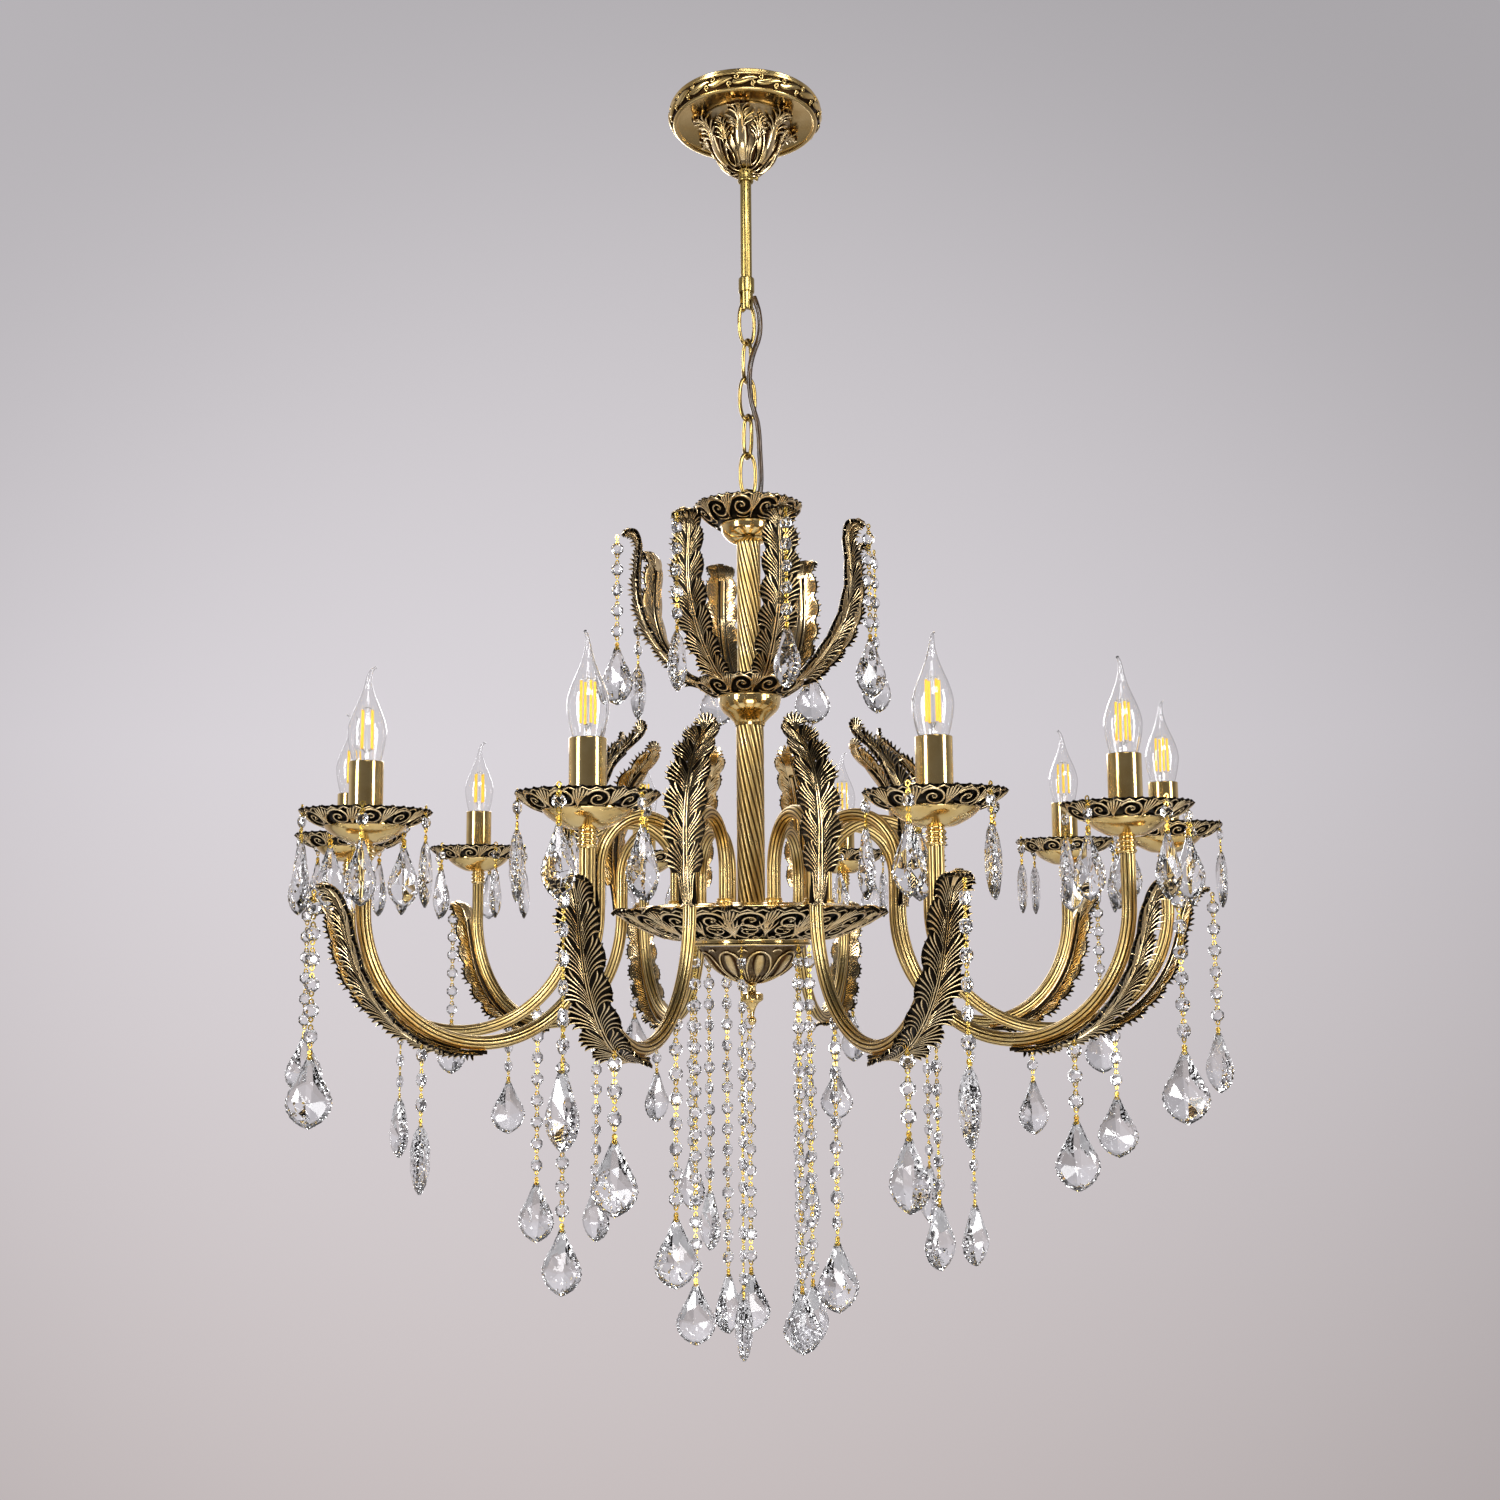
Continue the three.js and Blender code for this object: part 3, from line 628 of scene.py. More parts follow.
def mesh_of(name, shape, material, flat=False):
    """A Blender mesh, in metres, of a shape in millimetres."""
    mesh = bpy.data.meshes.new(name)
    corners = [tuple(face) for group in shape["faces"] for face in group.tolist()]
    mesh.from_pydata((shape["points"] * MM).tolist(), [], corners)
    relief = mesh.attributes.new("relief", "FLOAT", "POINT")
    relief.data.foreach_set("value", np.asarray(shape["relief"], np.float32))
    work = bmesh.new()
    work.from_mesh(mesh)
    bmesh.ops.remove_doubles(work, verts=work.verts, dist=0.002 * MM)
    bmesh.ops.recalc_face_normals(work, faces=work.faces)
    work.to_mesh(mesh)
    work.free()
    if flat:
        mesh.shade_flat()
    else:
        mesh.shade_smooth()
        mesh.set_sharp_from_angle(angle=math.radians(SHARP_DEG))
    mesh.materials.append(material)
    return mesh


def piece(name, mesh, body, slot, stands_for=(), place=None):
    """An object that shows the mesh, rides on a body, and may stand for CAD nodes. place is in millimetres."""
    made = bpy.data.objects.new(name, mesh)
    bpy.context.scene.collection.objects.link(made)
    if place is not None:
        place = place.copy()
        place.translation = place.translation * MM
        made.matrix_world = place
    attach(made, body)
    if stands_for:
        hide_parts(*stands_for)
    return made


# Ceiling fitting -------------------------------------------------------------------------------------

CANOPY = {"radius": 86.0, "band_top": -8.0, "lip": -24.0, "plate": -19.0, "hole": 36.0, "blocks": 20}


def canopy_shape():
    radius, lip, plate = CANOPY["radius"], CANOPY["lip"], CANOPY["plate"]
    shell = rounded([
        (radius - 6, -0.4), (radius - 3.4, -0.4), (radius - 2.2, -1.6), (radius - 2.6, -2.6),
        (radius - 1.0, -3.4), (radius - 1.4, -4.8), (radius + 0.2, -5.6), (radius - 0.6, -7.4),
        (radius - 1.6, -8.2), (radius - 2.2, -14), (radius - 4.6, -20), (radius - 4.4, -21),
        (radius - 4.0, -22.8), (radius - 5.6, lip), (radius - 8.4, lip - 0.1), (radius - 9.2, -22),
        (radius - 9.6, plate - 1.6), (CANOPY["hole"], plate - 1.6), (CANOPY["hole"], plate),
        (radius - 10.8, plate), (radius - 7, -8),
    ], 0.8, 4)
    made = [turned(shell, 160, closed=True)]
    band = spline([(radius - 1.4, -8.0), (radius - 1.5, -14), (radius - 4.4, -20.6)], 8)
    lay, length = on_band(band, radius)
    pitch = 2 * math.pi * radius / CANOPY["blocks"]
    for i in range(CANOPY["blocks"]):
        at = patch(i * pitch, pitch, length)
        path = bezier(at(-0.50, 0.60), at(-0.22, 0.84), at(0.20, 0.16), at(0.50, 0.40))
        made.append(stroke(path, finger_width(0.30 * length), 3.0 - 0.3 * ALONG, lay, 0.0, floor=1.0))
        for hand in (-1, 1):
            curl = scroll(at(hand * 0.36, 0.5 + hand * 0.24), 0.2 * length, 1.1, 90 * hand, 20)
            made.append(stroke(curl, np.linspace(1.3, 0.9, 20), 2.2, lay, 0.0, floor=1.0))
    made.append(turned(band + (0.25, 0), 160, relief=0.0))
    return join(made)


CUP_LEAVES = 6
CUP_FIRST_DEG = -98
CUP_RADIUS = 30.0
# Each finger of a cup leaf: how far its end is to the side, in mm, and the shares of the leaf's length where it
# ends and starts.
CUP_FINGERS = [(15, 0.60, 0.42), (17, 0.71, 0.47), (12.5, 0.80, 0.52), (13, 0.90, 0.60), (7.5, 0.95, 0.64),
               (2.6, 1.0, 0.68)]


def cup_leaf(foot, size, reach, palm_share):
    """One flame edged leaf of the cup: a smooth swelling body, and fingers that splay from its upper half."""
    spine = spline([(17, foot + 2), (29, foot + 12.5), (35, foot + 24), (38.4, foot + 35), (43, foot + 44),
                    (50, foot + 50.5), (58, foot + 53.5), (64, foot + 52.5)], 8)
    lay, length = on_spine(spine, -5.0, 20)
    full = length * reach
    palm = np.stack([np.zeros(12), np.linspace(*palm_share, 12) * full], -1)
    half_palm = size * 8.5 * np.sin(np.linspace(0.6, 2.7, 12))
    made = [stroke(palm, half_palm, 4.4 * size, lay, 0.0, floor=1.4, relief=0.95)]
    for k, (across, along, root) in enumerate(CUP_FINGERS):
        for side in (-1, 1):
            end = np.array([side * across * size, along * full])
            start = np.array([side * (0.5 + 0.16 * across) * size, root * full])
            run = np.linalg.norm(end - start)
            path = bezier(start, start + (0, 0.5 * run), end - (side * 0.34 * run, 0.12 * run), end)
            lift = 2.2 * size + 2.4 * ALONG**2
            made.append(stroke(path, slim_finger(1.75 * size), 2.4, lay, lift, floor=4.0 + 0.05 * k))
    return join(made)


def leaf_cup_shape():
    foot = bottom("canopy_leaf_cup")
    under = CANOPY["plate"] - 2.0
    outside = spline([(7.2, foot), (15, foot + 0.4), (22, foot + 5), (29, foot + 14), (34, foot + 26),
                      (37.5, foot + 38), (43, foot + 47), (51, under - 1.5)], 6)
    inside = (outside - np.array([2.0, -1.6]))[::-1]
    inside[:, 0] = np.maximum(inside[:, 0], 7.0)
    inside[:, 1] = np.minimum(inside[:, 1], under)
    made = [turned(np.vstack([outside, [(51, under), (49, under)], inside]), 96, closed=True, relief=0.5)]
    band, length = on_band(outside[::-1], CUP_RADIUS)

    def lay(across, along, up):
        return band(across, length - along, up)

    large = cup_leaf(foot, 1.0, 1.0, (0.05, 0.72))
    small = cup_leaf(foot, 0.62, 0.74, (0.52, 0.80))
    step = 360 / CUP_LEAVES
    pitch = 2 * math.pi * CUP_RADIUS / CUP_LEAVES
    loop_half = [(0.0, 0.13), (4.0, 0.18), (4.6, 0.27), (2.0, 0.38), (0.0, 0.47)]
    loop = loop_half + [(-across, along) for across, along in loop_half[-2:0:-1]]
    for i in range(CUP_LEAVES):
        between = CUP_FIRST_DEG + step * (i + 0.5)
        made.append(moved(large, around_z(CUP_FIRST_DEG + step * i)))
        made.append(moved(small, around_z(between)))
        x = math.radians(between) * CUP_RADIUS
        ring = spline([(x + across, along * length) for across, along in loop], 4, closed=True)
        made.append(stroke(np.vstack([ring, ring[:1]]), 1.3, 3.8, lay, 0.2, floor=1.0))
        at = patch(x, pitch, length)
        pit = bezier(at(0, 0.14), at(0, 0.22), at(0, 0.34), at(0, 0.42))
        made.append(stroke(pit, finger_width(2.8), 0.7, lay, 0.0, floor=1.0, relief=0.0))
        for hand in (-1, 1):
            border = bezier(at(0, -0.01), at(hand * 0.46, 0), at(hand * 0.36, 0.36), at(hand * 0.16, 0.62), 20)
            made.append(stroke(border, np.linspace(1.5, 0.9, 20), 3.4, lay, 0.1, floor=1.0))
    return join(made)


def rod_collar_shape():
    high, low = top("rod_collar"), bottom("rod_collar")
    ring = rounded([(6.5, high), (8.6, high), (9.0, high - 1.6), (8.2, high - 2.6), (8.2, low + 2.4),
                    (9.0, low + 1.6), (8.6, low), (6.5, low)], 0.5, 4)
    screw = rounded([(0.01, 0), (1.7, 0), (1.7, 4.0), (2.9, 4.4), (2.9, 7.0), (2.2, 7.8), (0.01, 7.8)], 0.3, 3)
    side = Matrix.Translation((6.6, 0, high - 9)) @ Matrix.Rotation(math.radians(90), 4, "Y")
    return join([turned(ring, 64, closed=True), moved(turned(screw, 20, closed=True), side)])


def rod_shape():
    high, low = top("down_rod"), bottom("down_rod")
    return turned(rounded([(0.01, high), (6.3, high), (6.3, low), (0.01, low)], 0.5, 4), 64, closed=True)


# Chain and cable -------------------------------------------------------------------------------------

CHAIN_YAW_DEG = 27
PIN_HEIGHT = -237
LINK = {"length": 52.6, "width": 23.0, "wire": 4.4, "seam": 0.5}


def link_shape(upright_yaw, high):
    """A bent wire link whose two ends butt together half way down one side."""
    half_height = (LINK["length"] - LINK["wire"]) / 2
    half_width = (LINK["width"] - LINK["wire"]) / 2
    gap = 0.5 * LINK["seam"] / half_height
    angle = np.pi + gap + (2 * np.pi - 2 * gap) * np.linspace(0, 1, 90)
    power = 2 / 2.4
    x = half_width * np.sign(np.cos(angle)) * np.abs(np.cos(angle)) ** power
    z = half_height * np.sign(np.sin(angle)) * np.abs(np.sin(angle)) ** power
    path = np.stack([x, 0 * x, z + high - LINK["length"] / 2], -1)
    return moved(swept(path, circle(LINK["wire"] / 2, 18), up=(0, 1, 0)), around_z(upright_yaw))


def coupling_shape():
    """A collar with two cheeks under it that hold the first link's pin. The cable comes out by the far cheek."""
    high, low = top("chain_coupling"), bottom("chain_coupling")
    collar = turned(rounded([(0.01, high), (8.4, high), (8.9, high - 0.8), (8.9, high - 15.6), (8.4, high - 16.6),
                             (0.01, high - 16.6)], 0.6, 4), 64, closed=True)
    made = [collar]
    turn = around_z(CHAIN_YAW_DEG)
    inner, outer = 2.85, 7.4
    start = math.degrees(math.asin(inner / outer))
    for side, span in ((-1, (180 + start, 360 - start)), (1, (74 + start, 180 - start))):
        arc = np.radians(np.linspace(*span, 20))
        outline = np.stack([outer * np.cos(arc), outer * np.sin(arc)], -1)
        edge = side * inner
        loop = np.vstack([outline, [(outline[-1, 0], edge), (outline[0, 0], edge)]])
        loop = rounded(loop, 0.3, 2)
        rows = []
        for z, size in ((high - 16.2, 1.0), (low + 2.5, 1.0), (low + 0.7, 0.97), (low, 0.9)):
            centre = np.array([[0, side * 5.0]])
            ring = centre + (loop - centre) * size
            rows.append(np.column_stack([ring, np.full(len(ring), z)]))
        made.append(moved(skin(np.array(rows), caps=True), turn))
    pin_profile = rounded([(0.01, -7.6), (1.4, -7.6), (3.0, -7.0), (2.0, -6.4), (2.0, 5.4), (2.8, 6.4), (1.2, 7.2),
                           (0.01, 7.2)], 0.3, 3)
    across = Matrix.Translation((0, 0, PIN_HEIGHT)) @ Matrix.Rotation(math.radians(-90), 4, "X")
    made.append(moved(moved(turned(pin_profile, 24, closed=True), across), turn))
    return join(made)


def body_loop_shape():
    high, foot = top("body_loop"), bottom("body_loop")
    half, thickness, width = 8.5, 3.0, 6.4
    middle = half - thickness / 2
    arc = np.linspace(0, np.pi, 26)
    arch = [(middle * math.cos(a), high - half + middle * math.sin(a)) for a in arc]
    line = [(middle, foot + 1), (middle, foot + 6), *arch, (-middle, foot + 6), (-middle, foot + 1)]
    path = np.array([(0, x, z) for x, z in line])
    section = rounded([(-width / 2, -thickness / 2), (width / 2, -thickness / 2),
                       (width / 2, thickness / 2), (-width / 2, thickness / 2)], 0.8, 4)
    strap = swept(path, section, up=(0, 1, 0))
    plate = rounded([(0.01, foot), (10, foot), (10, foot + 2.2), (7, foot + 3.4), (0.01, foot + 3.4)], 0.6, 4)
    plate = turned(plate, 48, closed=True)
    nut = rounded([(0.01, foot + 3), (5, foot + 3), (5, foot + 6.4), (0.01, foot + 6.4)], 0.4, 3)
    nut = turned(nut, 6, closed=True)
    return moved(join([strap, plate, nut]), around_z(CHAIN_YAW_DEG))


CABLE_RADIUS = 3.0
CABLE_ROUTE = [
    (8.4, -7.4, -229), (10.6, -8.6, -236), (13.2, -9.4, -246), (14.6, -9.6, -258), (14.4, -9.8, -270),
    (12.2, -10.6, -281), (8.4, -12.4, -292), (5, -14.4, -304), (3, -15.4, -316), (2.4, -15, -328),
    (3, -13.6, -340), (4.6, -13.4, -352), (7.6, -13.6, -364), (10.8, -13.2, -376), (12.4, -12.4, -390),
    (13, -11.8, -404), (13.6, -11.4, -418), (14.2, -11.2, -432), (14, -11.4, -446), (12.6, -12.4, -458),
    (11.8, -13, -469),
]


def cable_stretches():
    """The cable in stretches, each with the two bodies it runs between and the height of the joint it bends at."""
    path = spline(CABLE_ROUTE, 8)
    pivots = ("first_link_pivot", "second_link_pivot", "last_link_pivot", "body_pivot")
    first, second, last, body = (JOINTS[name]["pos_m"][2] / MM for name in pivots)
    half_pitch = (first - second) / 2
    stretches = [
        ("ceiling_mount", "first_link", first, first - half_pitch),
        ("first_link", "chain_middle", second, second - half_pitch),
        ("chain_middle", "chain_middle", None, last + half_pitch),
        ("chain_middle", "last_link", last, last - half_pitch),
        ("last_link", "fixture", body, path[-1, 2]),
    ]
    sides = 20
    tube = swept(path, circle(CABLE_RADIUS, sides), caps=False)["points"].reshape(len(path), sides, 3)
    start = 0
    for above, below, bend, low in stretches:
        end = int(np.argmin(np.abs(path[:, 2] - low)))
        yield above, below, bend, skin(tube[start:end + 1], caps=True)
        start = end


# Body: rosettes, cups, columns, bowl -----------------------------------------------------------------


ROSETTE_RADIUS = 57


def worn_skin(inside):
    """The rubbed, lighter face on the inside of a dish, just proud of it."""
    return turned(np.vstack([inside[::-1] - (0, 0.2), inside + (0, 0.2)]), 112, closed=True, relief=0.92)


def rosette_shape(node, radius, neck, repeats):
    """A leafy dish: a scroll border on its outside, and a plain plate on top."""
    high, low = top(node), bottom(node)
    outside = spline([(radius, high - 2.5), (radius - 3, high - 7), (0.72 * radius, low + 4.0), (neck, low)], 7)
    rim = [(radius - 1.2, high - 1.2), (radius - 3.0, high - 1.6)]
    inside = np.array([(0.7 * radius, high - 3.4), (5.4, high - 3.4)])
    body = np.vstack([[(5.4, low)], outside[::-1], rim, inside])
    made = [turned(body, 120, closed=True, relief=0.15), worn_skin(inside)]
    banded = outside[: int(len(outside) * 0.85)]
    made.append(scroll_border(banded, 0.86 * radius, repeats, body=radius / ROSETTE_RADIUS, wing=2.4))
    return join(made)


FLUTES = 16
FLUTE_LEAN = 0.26
FLUTE_DEPTH = 1.2


def fluted_column(node, radius):
    """A tube with ribs that wind round it."""
    high, low = top(node), bottom(node)
    heights = np.linspace(high, low, max(24, int(abs(high - low) / 3)))[:, None]
    turn = np.linspace(0, 2 * np.pi, FLUTES * 10, endpoint=False)
    rib = np.abs(np.sin(turn * FLUTES / 2)) ** 0.75
    angles = turn + FLUTE_LEAN * (high - heights) / radius
    out = radius - FLUTE_DEPTH + FLUTE_DEPTH * rib
    outside = np.stack([out * np.cos(angles), out * np.sin(angles), heights + 0 * angles], -1)
    bore = (radius - 2.4) / out
    inside = outside[[-1, 0]] * np.stack([bore, bore, 1 + 0 * bore], -1)
    plain = np.ones((2, len(rib)))
    # The rib height is also the relief, so the fluted gold paints shade into the flutes.
    return skin(np.concatenate([outside, inside]), np.concatenate([rib + 0 * angles, plain]), close_rows=True)


def bowl_rim_shape():
    high, low = top("bowl_rim"), bottom("bowl_rim")
    outside = spline([(141, high - 3), (128, low + 20), (108, low + 10), (86, low + 2), (64, low)], 8)
    body = np.vstack([[(58, low + 0.2)], outside[::-1], [(140.5, high - 0.8), (138, high - 1.0)],
                      [(126, high - 4.6), (106, low + 14), (84, low + 6), (58, low + 4)]])
    made = [turned(body, 200, closed=True, relief=0.12)]
    made.append(scroll_border(outside[:17], 132.0, 20, body=1.5, wing=3.5))
    made.append(turned([(141.2, high - 3.4), (142.2, high - 2.2), (141.4, high - 1.0), (139.6, high - 1.4),
                        (139.8, high - 3.0)], 200, closed=True))
    repeats = 10
    made += [moved(bowl_wing_shape(), around_z(360 / repeats * (i + 0.22))) for i in range(repeats)]
    lay, length = on_band(outside[8: int(len(outside) * 0.9)], 112.0)
    pitch = 2 * math.pi * 112.0 / repeats
    for i in range(repeats):
        x = (i + 0.22) * pitch
        at = patch(x, pitch, length)
        for hand in (-1, 1):
            big = scroll(at(hand * 0.22, 0.40), 0.27 * length, 1.5, 90, hand=hand)
            width, height = np.linspace(2.3, 1.2, len(big)), np.linspace(4.2, 3.0, len(big))
            made.append(stroke(big, width, height, lay, 0.3, floor=1.5))
            made.append(button(lay, at(hand * 0.22, 0.40), 2.2, 5.2))
            small = scroll(at(hand * 0.33, 0.76), 0.16 * length, 1.3, -90, hand=-hand)
            made.append(stroke(small, np.linspace(1.7, 1.0, len(small)), 3.4, lay, 0.3, floor=1.5))
            arm = bezier(at(hand * 0.02, 0.98), at(hand * 0.10, 0.70), at(hand * 0.42, 1.0),
                         at(hand * 0.47, 0.55))
            made.append(stroke(arm, finger_width(1.8), 3.6, lay, 0.2, floor=1.5))
        for k in range(7):
            fan = (k - 3) / 3
            end = (x + 0.17 * pitch * fan, -5.0 + 7.0 * fan * fan)
            path = bezier(at(0, 0.70), at(0.02 * fan, 0.45), (end[0] * 0.8 + x * 0.2, 0.22 * length), end)
            made.append(stroke(path, finger_width(1.9), 4.2 - 1.4 * ALONG, lay, 0.4 + 1.8 * ALONG**2, floor=1.5))
        for k in range(5):
            fan = (k - 2) / 2
            end = (x + pitch * (0.5 + 0.12 * fan), 3.0 * fan * fan - 2.0)
            path = bezier(at(0.5, 0.62), at(0.5, 0.42), (end[0], 0.25 * length), end)
            made.append(stroke(path, finger_width(1.7), 3.8 - 1.2 * ALONG, lay, 0.4 + 1.2 * ALONG**2, floor=1.5))
    return join(made)


def bowl_cover_shape():
    """The plate inside the bowl that the arms stand on, with its edge turned down to the rim."""
    high, low = top("bowl_cover"), bottom("bowl_cover")
    outline = [(17, high), (98, high), (102, high - 0.8), (107, low + 0.4), (134, low - 1.2), (134, low - 2.6),
               (100, low - 0.8), (17, low)]
    return turned(rounded(outline, 0.8, 3), 160, closed=True)


def bowl_wing_shape():
    """A cast hook that stands out from the bowl's rim over each pair of arms."""
    high = top("bowl_rim")
    spine = spline([(116, high - 7), (128, high - 2.5), (137, high - 0.6), (145, high - 1.8), (150, high - 6)], 6)
    lay, length = on_spine(spine, -1.0, 6)
    made = []
    for k in (-2, -1, 0, 1, 2):
        path = bezier((0, 2), (k * 1.4, 9), (k * 2.6, length - 12), (k * 2.1, length - 1 - abs(k) * 3))
        made.append(stroke(path, finger_width(1.8), 3.0, lay, 0.3, floor=1.6))
    return join(made)


def bowl_ring_shape():
    high, low, radius = top("bowl_ring"), bottom("bowl_ring"), 63.5
    profile = rounded([(50, high), (radius - 1.6, high), (radius, high - 1.2), (radius - 0.6, high - 2.4),
                       (radius - 0.6, low + 2.6), (radius, low + 1.4), (radius - 1.2, low), (50, low)], 0.5, 4)
    return turned(profile, 160, closed=True)


def dome_shape():
    high, low = top("bowl_dome"), bottom("bowl_dome")
    outside = spline([(57, high), (55.5, high - 2), (50, low + 28), (40, low + 15), (25, low + 5), (12, low),
                      (6, low)], 8)
    inside = outside[::-1] + np.array([-1.6, 1.8])
    inside[:, 0] = np.maximum(inside[:, 0], 5.6)
    inside[:, 1] = np.minimum(inside[:, 1], high)
    made = [turned(np.vstack([outside, inside]), 128, closed=True, relief=0.32)]
    lay, length = on_band(outside, 45.0)
    petals = 9
    pitch = 2 * math.pi * 45.0 / petals
    for i in range(petals):
        at = patch(i * pitch, pitch, length)
        arch = spline([at(-0.42, 0.74), at(-0.44, 0.45), at(-0.3, 0.2), at(0, 0.1), at(0.3, 0.2), at(0.44, 0.45),
                       at(0.42, 0.74)], 4)
        made.append(stroke(arch, 1.5, 1.8, lay, 0.0, floor=1.0))
        swell = bezier(at(0, 0.16), at(0, 0.3), at(0, 0.5), at(0, 0.62))
        made.append(stroke(swell, finger_width(0.24 * pitch), 2.4, lay, 0.0, floor=1.0, relief=0.75))
        for k in (-1, 0, 1):
            tip = np.add(at(k * 0.22, 0.62), (0, 1.5 * abs(k)))
            path = bezier(at(k * 0.1, 0.97), at(k * 0.2, 0.9), at(k * 0.22, 0.75), tip)
            made.append(stroke(path, finger_width(1.9), 1.7, lay, 0.1, floor=1.0))
        edge = bezier(at(0.36, 0.1), at(0.45, 0.05), at(0.55, 0.05), at(0.64, 0.1))
        made.append(stroke(edge, finger_width(1.6), 1.6, lay, 0.1, floor=1.0))
    return join(made)


def finial_shape():
    high, low = top("finial"), bottom("finial")
    ball_radius = 4.6
    outline = [(0.01, low), (2.6, low + 0.7), (ball_radius, low + ball_radius), (3.4, low + 7.9), (2.0, low + 9.4)]
    cone = [(2.2, low + 11), (3.0, low + 15), (4.4, low + 19), (7.2, low + 23.4)]
    disc = [(11.0, low + 25.6), (12.0, low + 27), (12.0, low + 32), (11.2, low + 33.4), (5.4, low + 34.6)]
    neck = [(4.2, low + 37), (4.2, high - 5), (5.2, high - 3), (7.2, high - 1), (7.2, high), (0.01, high)]
    return turned(np.vstack([spline(outline, 5), spline(cone, 5), rounded(disc, 0.5, 3)[1:-1], neck]), 48)


# Arms, candles and bulbs -----------------------------------------------------------------------------

ARM_COUNT = 10
FIRST_ARM_DEG = -19.4
STUB = 80.0
ARM = {"radius": 6.75, "arch": 55.0, "arch_height": -870.0, "sweep": 125.0, "sweep_height": -911.0,
       "top": -868.3}
REACH = 360.0


ARM_FLUTES = 10
ARM_FLUTE_DEPTH = 1.1


def arm_places():
    """Where each arm stands: its origin is on the stub's axis, and its X axis points at its candle."""
    places = []
    for i in range(ARM_COUNT):
        angle = math.radians(FIRST_ARM_DEG - 90 + 360 / ARM_COUNT * i)
        stub = Vector((STUB * math.cos(angle), STUB * math.sin(angle), 0))
        candle = Vector(JOINTS[f"bulb_{i + 1}_screw"]["pos_m"]) / MM
        out = candle - stub
        turn = Matrix.Rotation(math.atan2(out.y, out.x), 4, "Z")
        places.append(Matrix.Translation(stub) @ turn)
    return places


def arm_line():
    arch, sweep = ARM["arch"], ARM["sweep"]
    foot = top("bowl_cover") + 0.3
    half = np.linspace(0, np.pi, 30)
    rise = np.stack([0 * half[:6], np.linspace(foot, ARM["arch_height"], 6)], -1)[:-1]
    over = np.stack([arch - arch * np.cos(half), ARM["arch_height"] + arch * np.sin(half)], -1)
    drop = np.stack([np.full(5, 2 * arch), np.linspace(ARM["arch_height"], ARM["sweep_height"], 5)], -1)[1:-1]
    wide = np.linspace(0, np.pi, 56)
    under = np.stack([2 * arch + sweep - sweep * np.cos(wide), ARM["sweep_height"] - sweep * np.sin(wide)], -1)
    end = np.array([(REACH, ARM["top"] - 20), (REACH, ARM["top"])])
    line = np.vstack([rise, over, drop, under, end])
    return np.stack([line[:, 0], 0 * line[:, 0], line[:, 1]], -1)


def arm_tube_shape():
    """A tube drawn with straight flutes all round it."""
    angles = np.linspace(0, 2 * np.pi, ARM_FLUTES * 8, endpoint=False)
    rib = np.abs(np.sin(angles * ARM_FLUTES / 2)) ** 0.6
    radius = ARM["radius"] - ARM_FLUTE_DEPTH + ARM_FLUTE_DEPTH * rib
    section = np.stack([radius * np.cos(angles), radius * np.sin(angles)], -1)
    line = arm_line()
    # The rib height is also the relief, so the fluted gold paints shade into the flutes.
    tube = swept(line, section, up=(0, 1, 0), relief=rib[None, :] + 0 * line[:, :1])
    foot = line[0, 2]
    collar = rounded([(6.6, foot), (9.4, foot), (9.4, foot + 1.6), (8.2, foot + 2.4), (9.0, foot + 3.6),
                      (8.2, foot + 4.6), (6.6, foot + 4.6)], 0.4, 3)
    return join([tube, turned(collar, 48, closed=True)])


def leaf_strap(lay, start, end, width, height, lift, floor, points=24):
    """The flat strap along a leaf's back. Height, lift and floor are negative, as it stands out behind."""
    line = np.stack([np.zeros(points), np.linspace(start, end, points)], -1)
    return stroke(line, width, height, lay, lift, floor=floor)


def tall_leaf_shape():
    spine = [(113.5, -908), (116.5, -890), (118.5, -860), (119, -830), (110, -790), (92, -760), (70, -741),
             (58, -728), (56, -716)]
    made = [leaf([(r + 0.5, z) for r, z in spine], 47, 6, (0.15, 0.93), curl=4.5, cup=3.0, tip=12)]
    lay, length = on_spine(spline(spine, 8))
    for row in range(4):
        for column in range(3 - row % 2):
            across = (column - 1 + 0.5 * (row % 2)) * 3.2
            made.append(button(lay, (across, 4 + 3.2 * row), 1.7, 4.6))
    for across in (-7, -4.6, -2.3, 0, 2.3, 4.6, 7):
        calyx = bezier((0.5 * across, 1), (0.95 * across, 12), (0.85 * across, 24),
                       (1.3 * across, 40 - abs(across)))
        made.append(stroke(calyx, finger_width(1.3), 3.0, lay, 0.6, floor=1.4))
    made.append(leaf_strap(lay, 10, length * 0.8, 3.2, -3.2, -1.0, -1.4, points=20))
    made.append(button(behind(lay), (0, 0.62 * length), 3.4, 5.2))
    return join(made)


def long_leaf_shape():
    spine = [(238, -1043.5), (252, -1043), (280, -1038.5), (313, -1023.5), (340, -1000), (360, -970),
             (371.5, -937), (378.5, -911), (390, -893), (402, -889.5), (409, -896)]
    made = [leaf(spine, 46, 8, (0.05, 0.94), curl=4.0, cup=3.0, tip=10)]
    lay, length = on_spine(spline(spine, 8))
    made.append(leaf_strap(lay, 24, length * 0.82, 3.0, -3.0, -1.0, -1.4))
    return join(made)


def crown_leaf_shape():
    foot = top("crown_ring") - 4.7
    spine = [(49, foot + 2), (60, -662), (72, -655), (94, -633), (112, -606), (122, -574), (122.5, -542),
             (120.5, -518), (126, -503.5), (137, -501.5), (144, -508)]
    made = [leaf(spine, 45, 7, (0.07, 0.95), curl=3.6, cup=2.6, tip=10)]
    lay, length = on_spine(spline(spine, 8))
    made.append(leaf_strap(lay, 20, length * 0.8, 4.4, -1.6, -1.2, -0.8))
    made += [button(behind(lay), (0, share * length), 3.2, 4.6) for share in (0.3, 0.6)]
    return join(made)


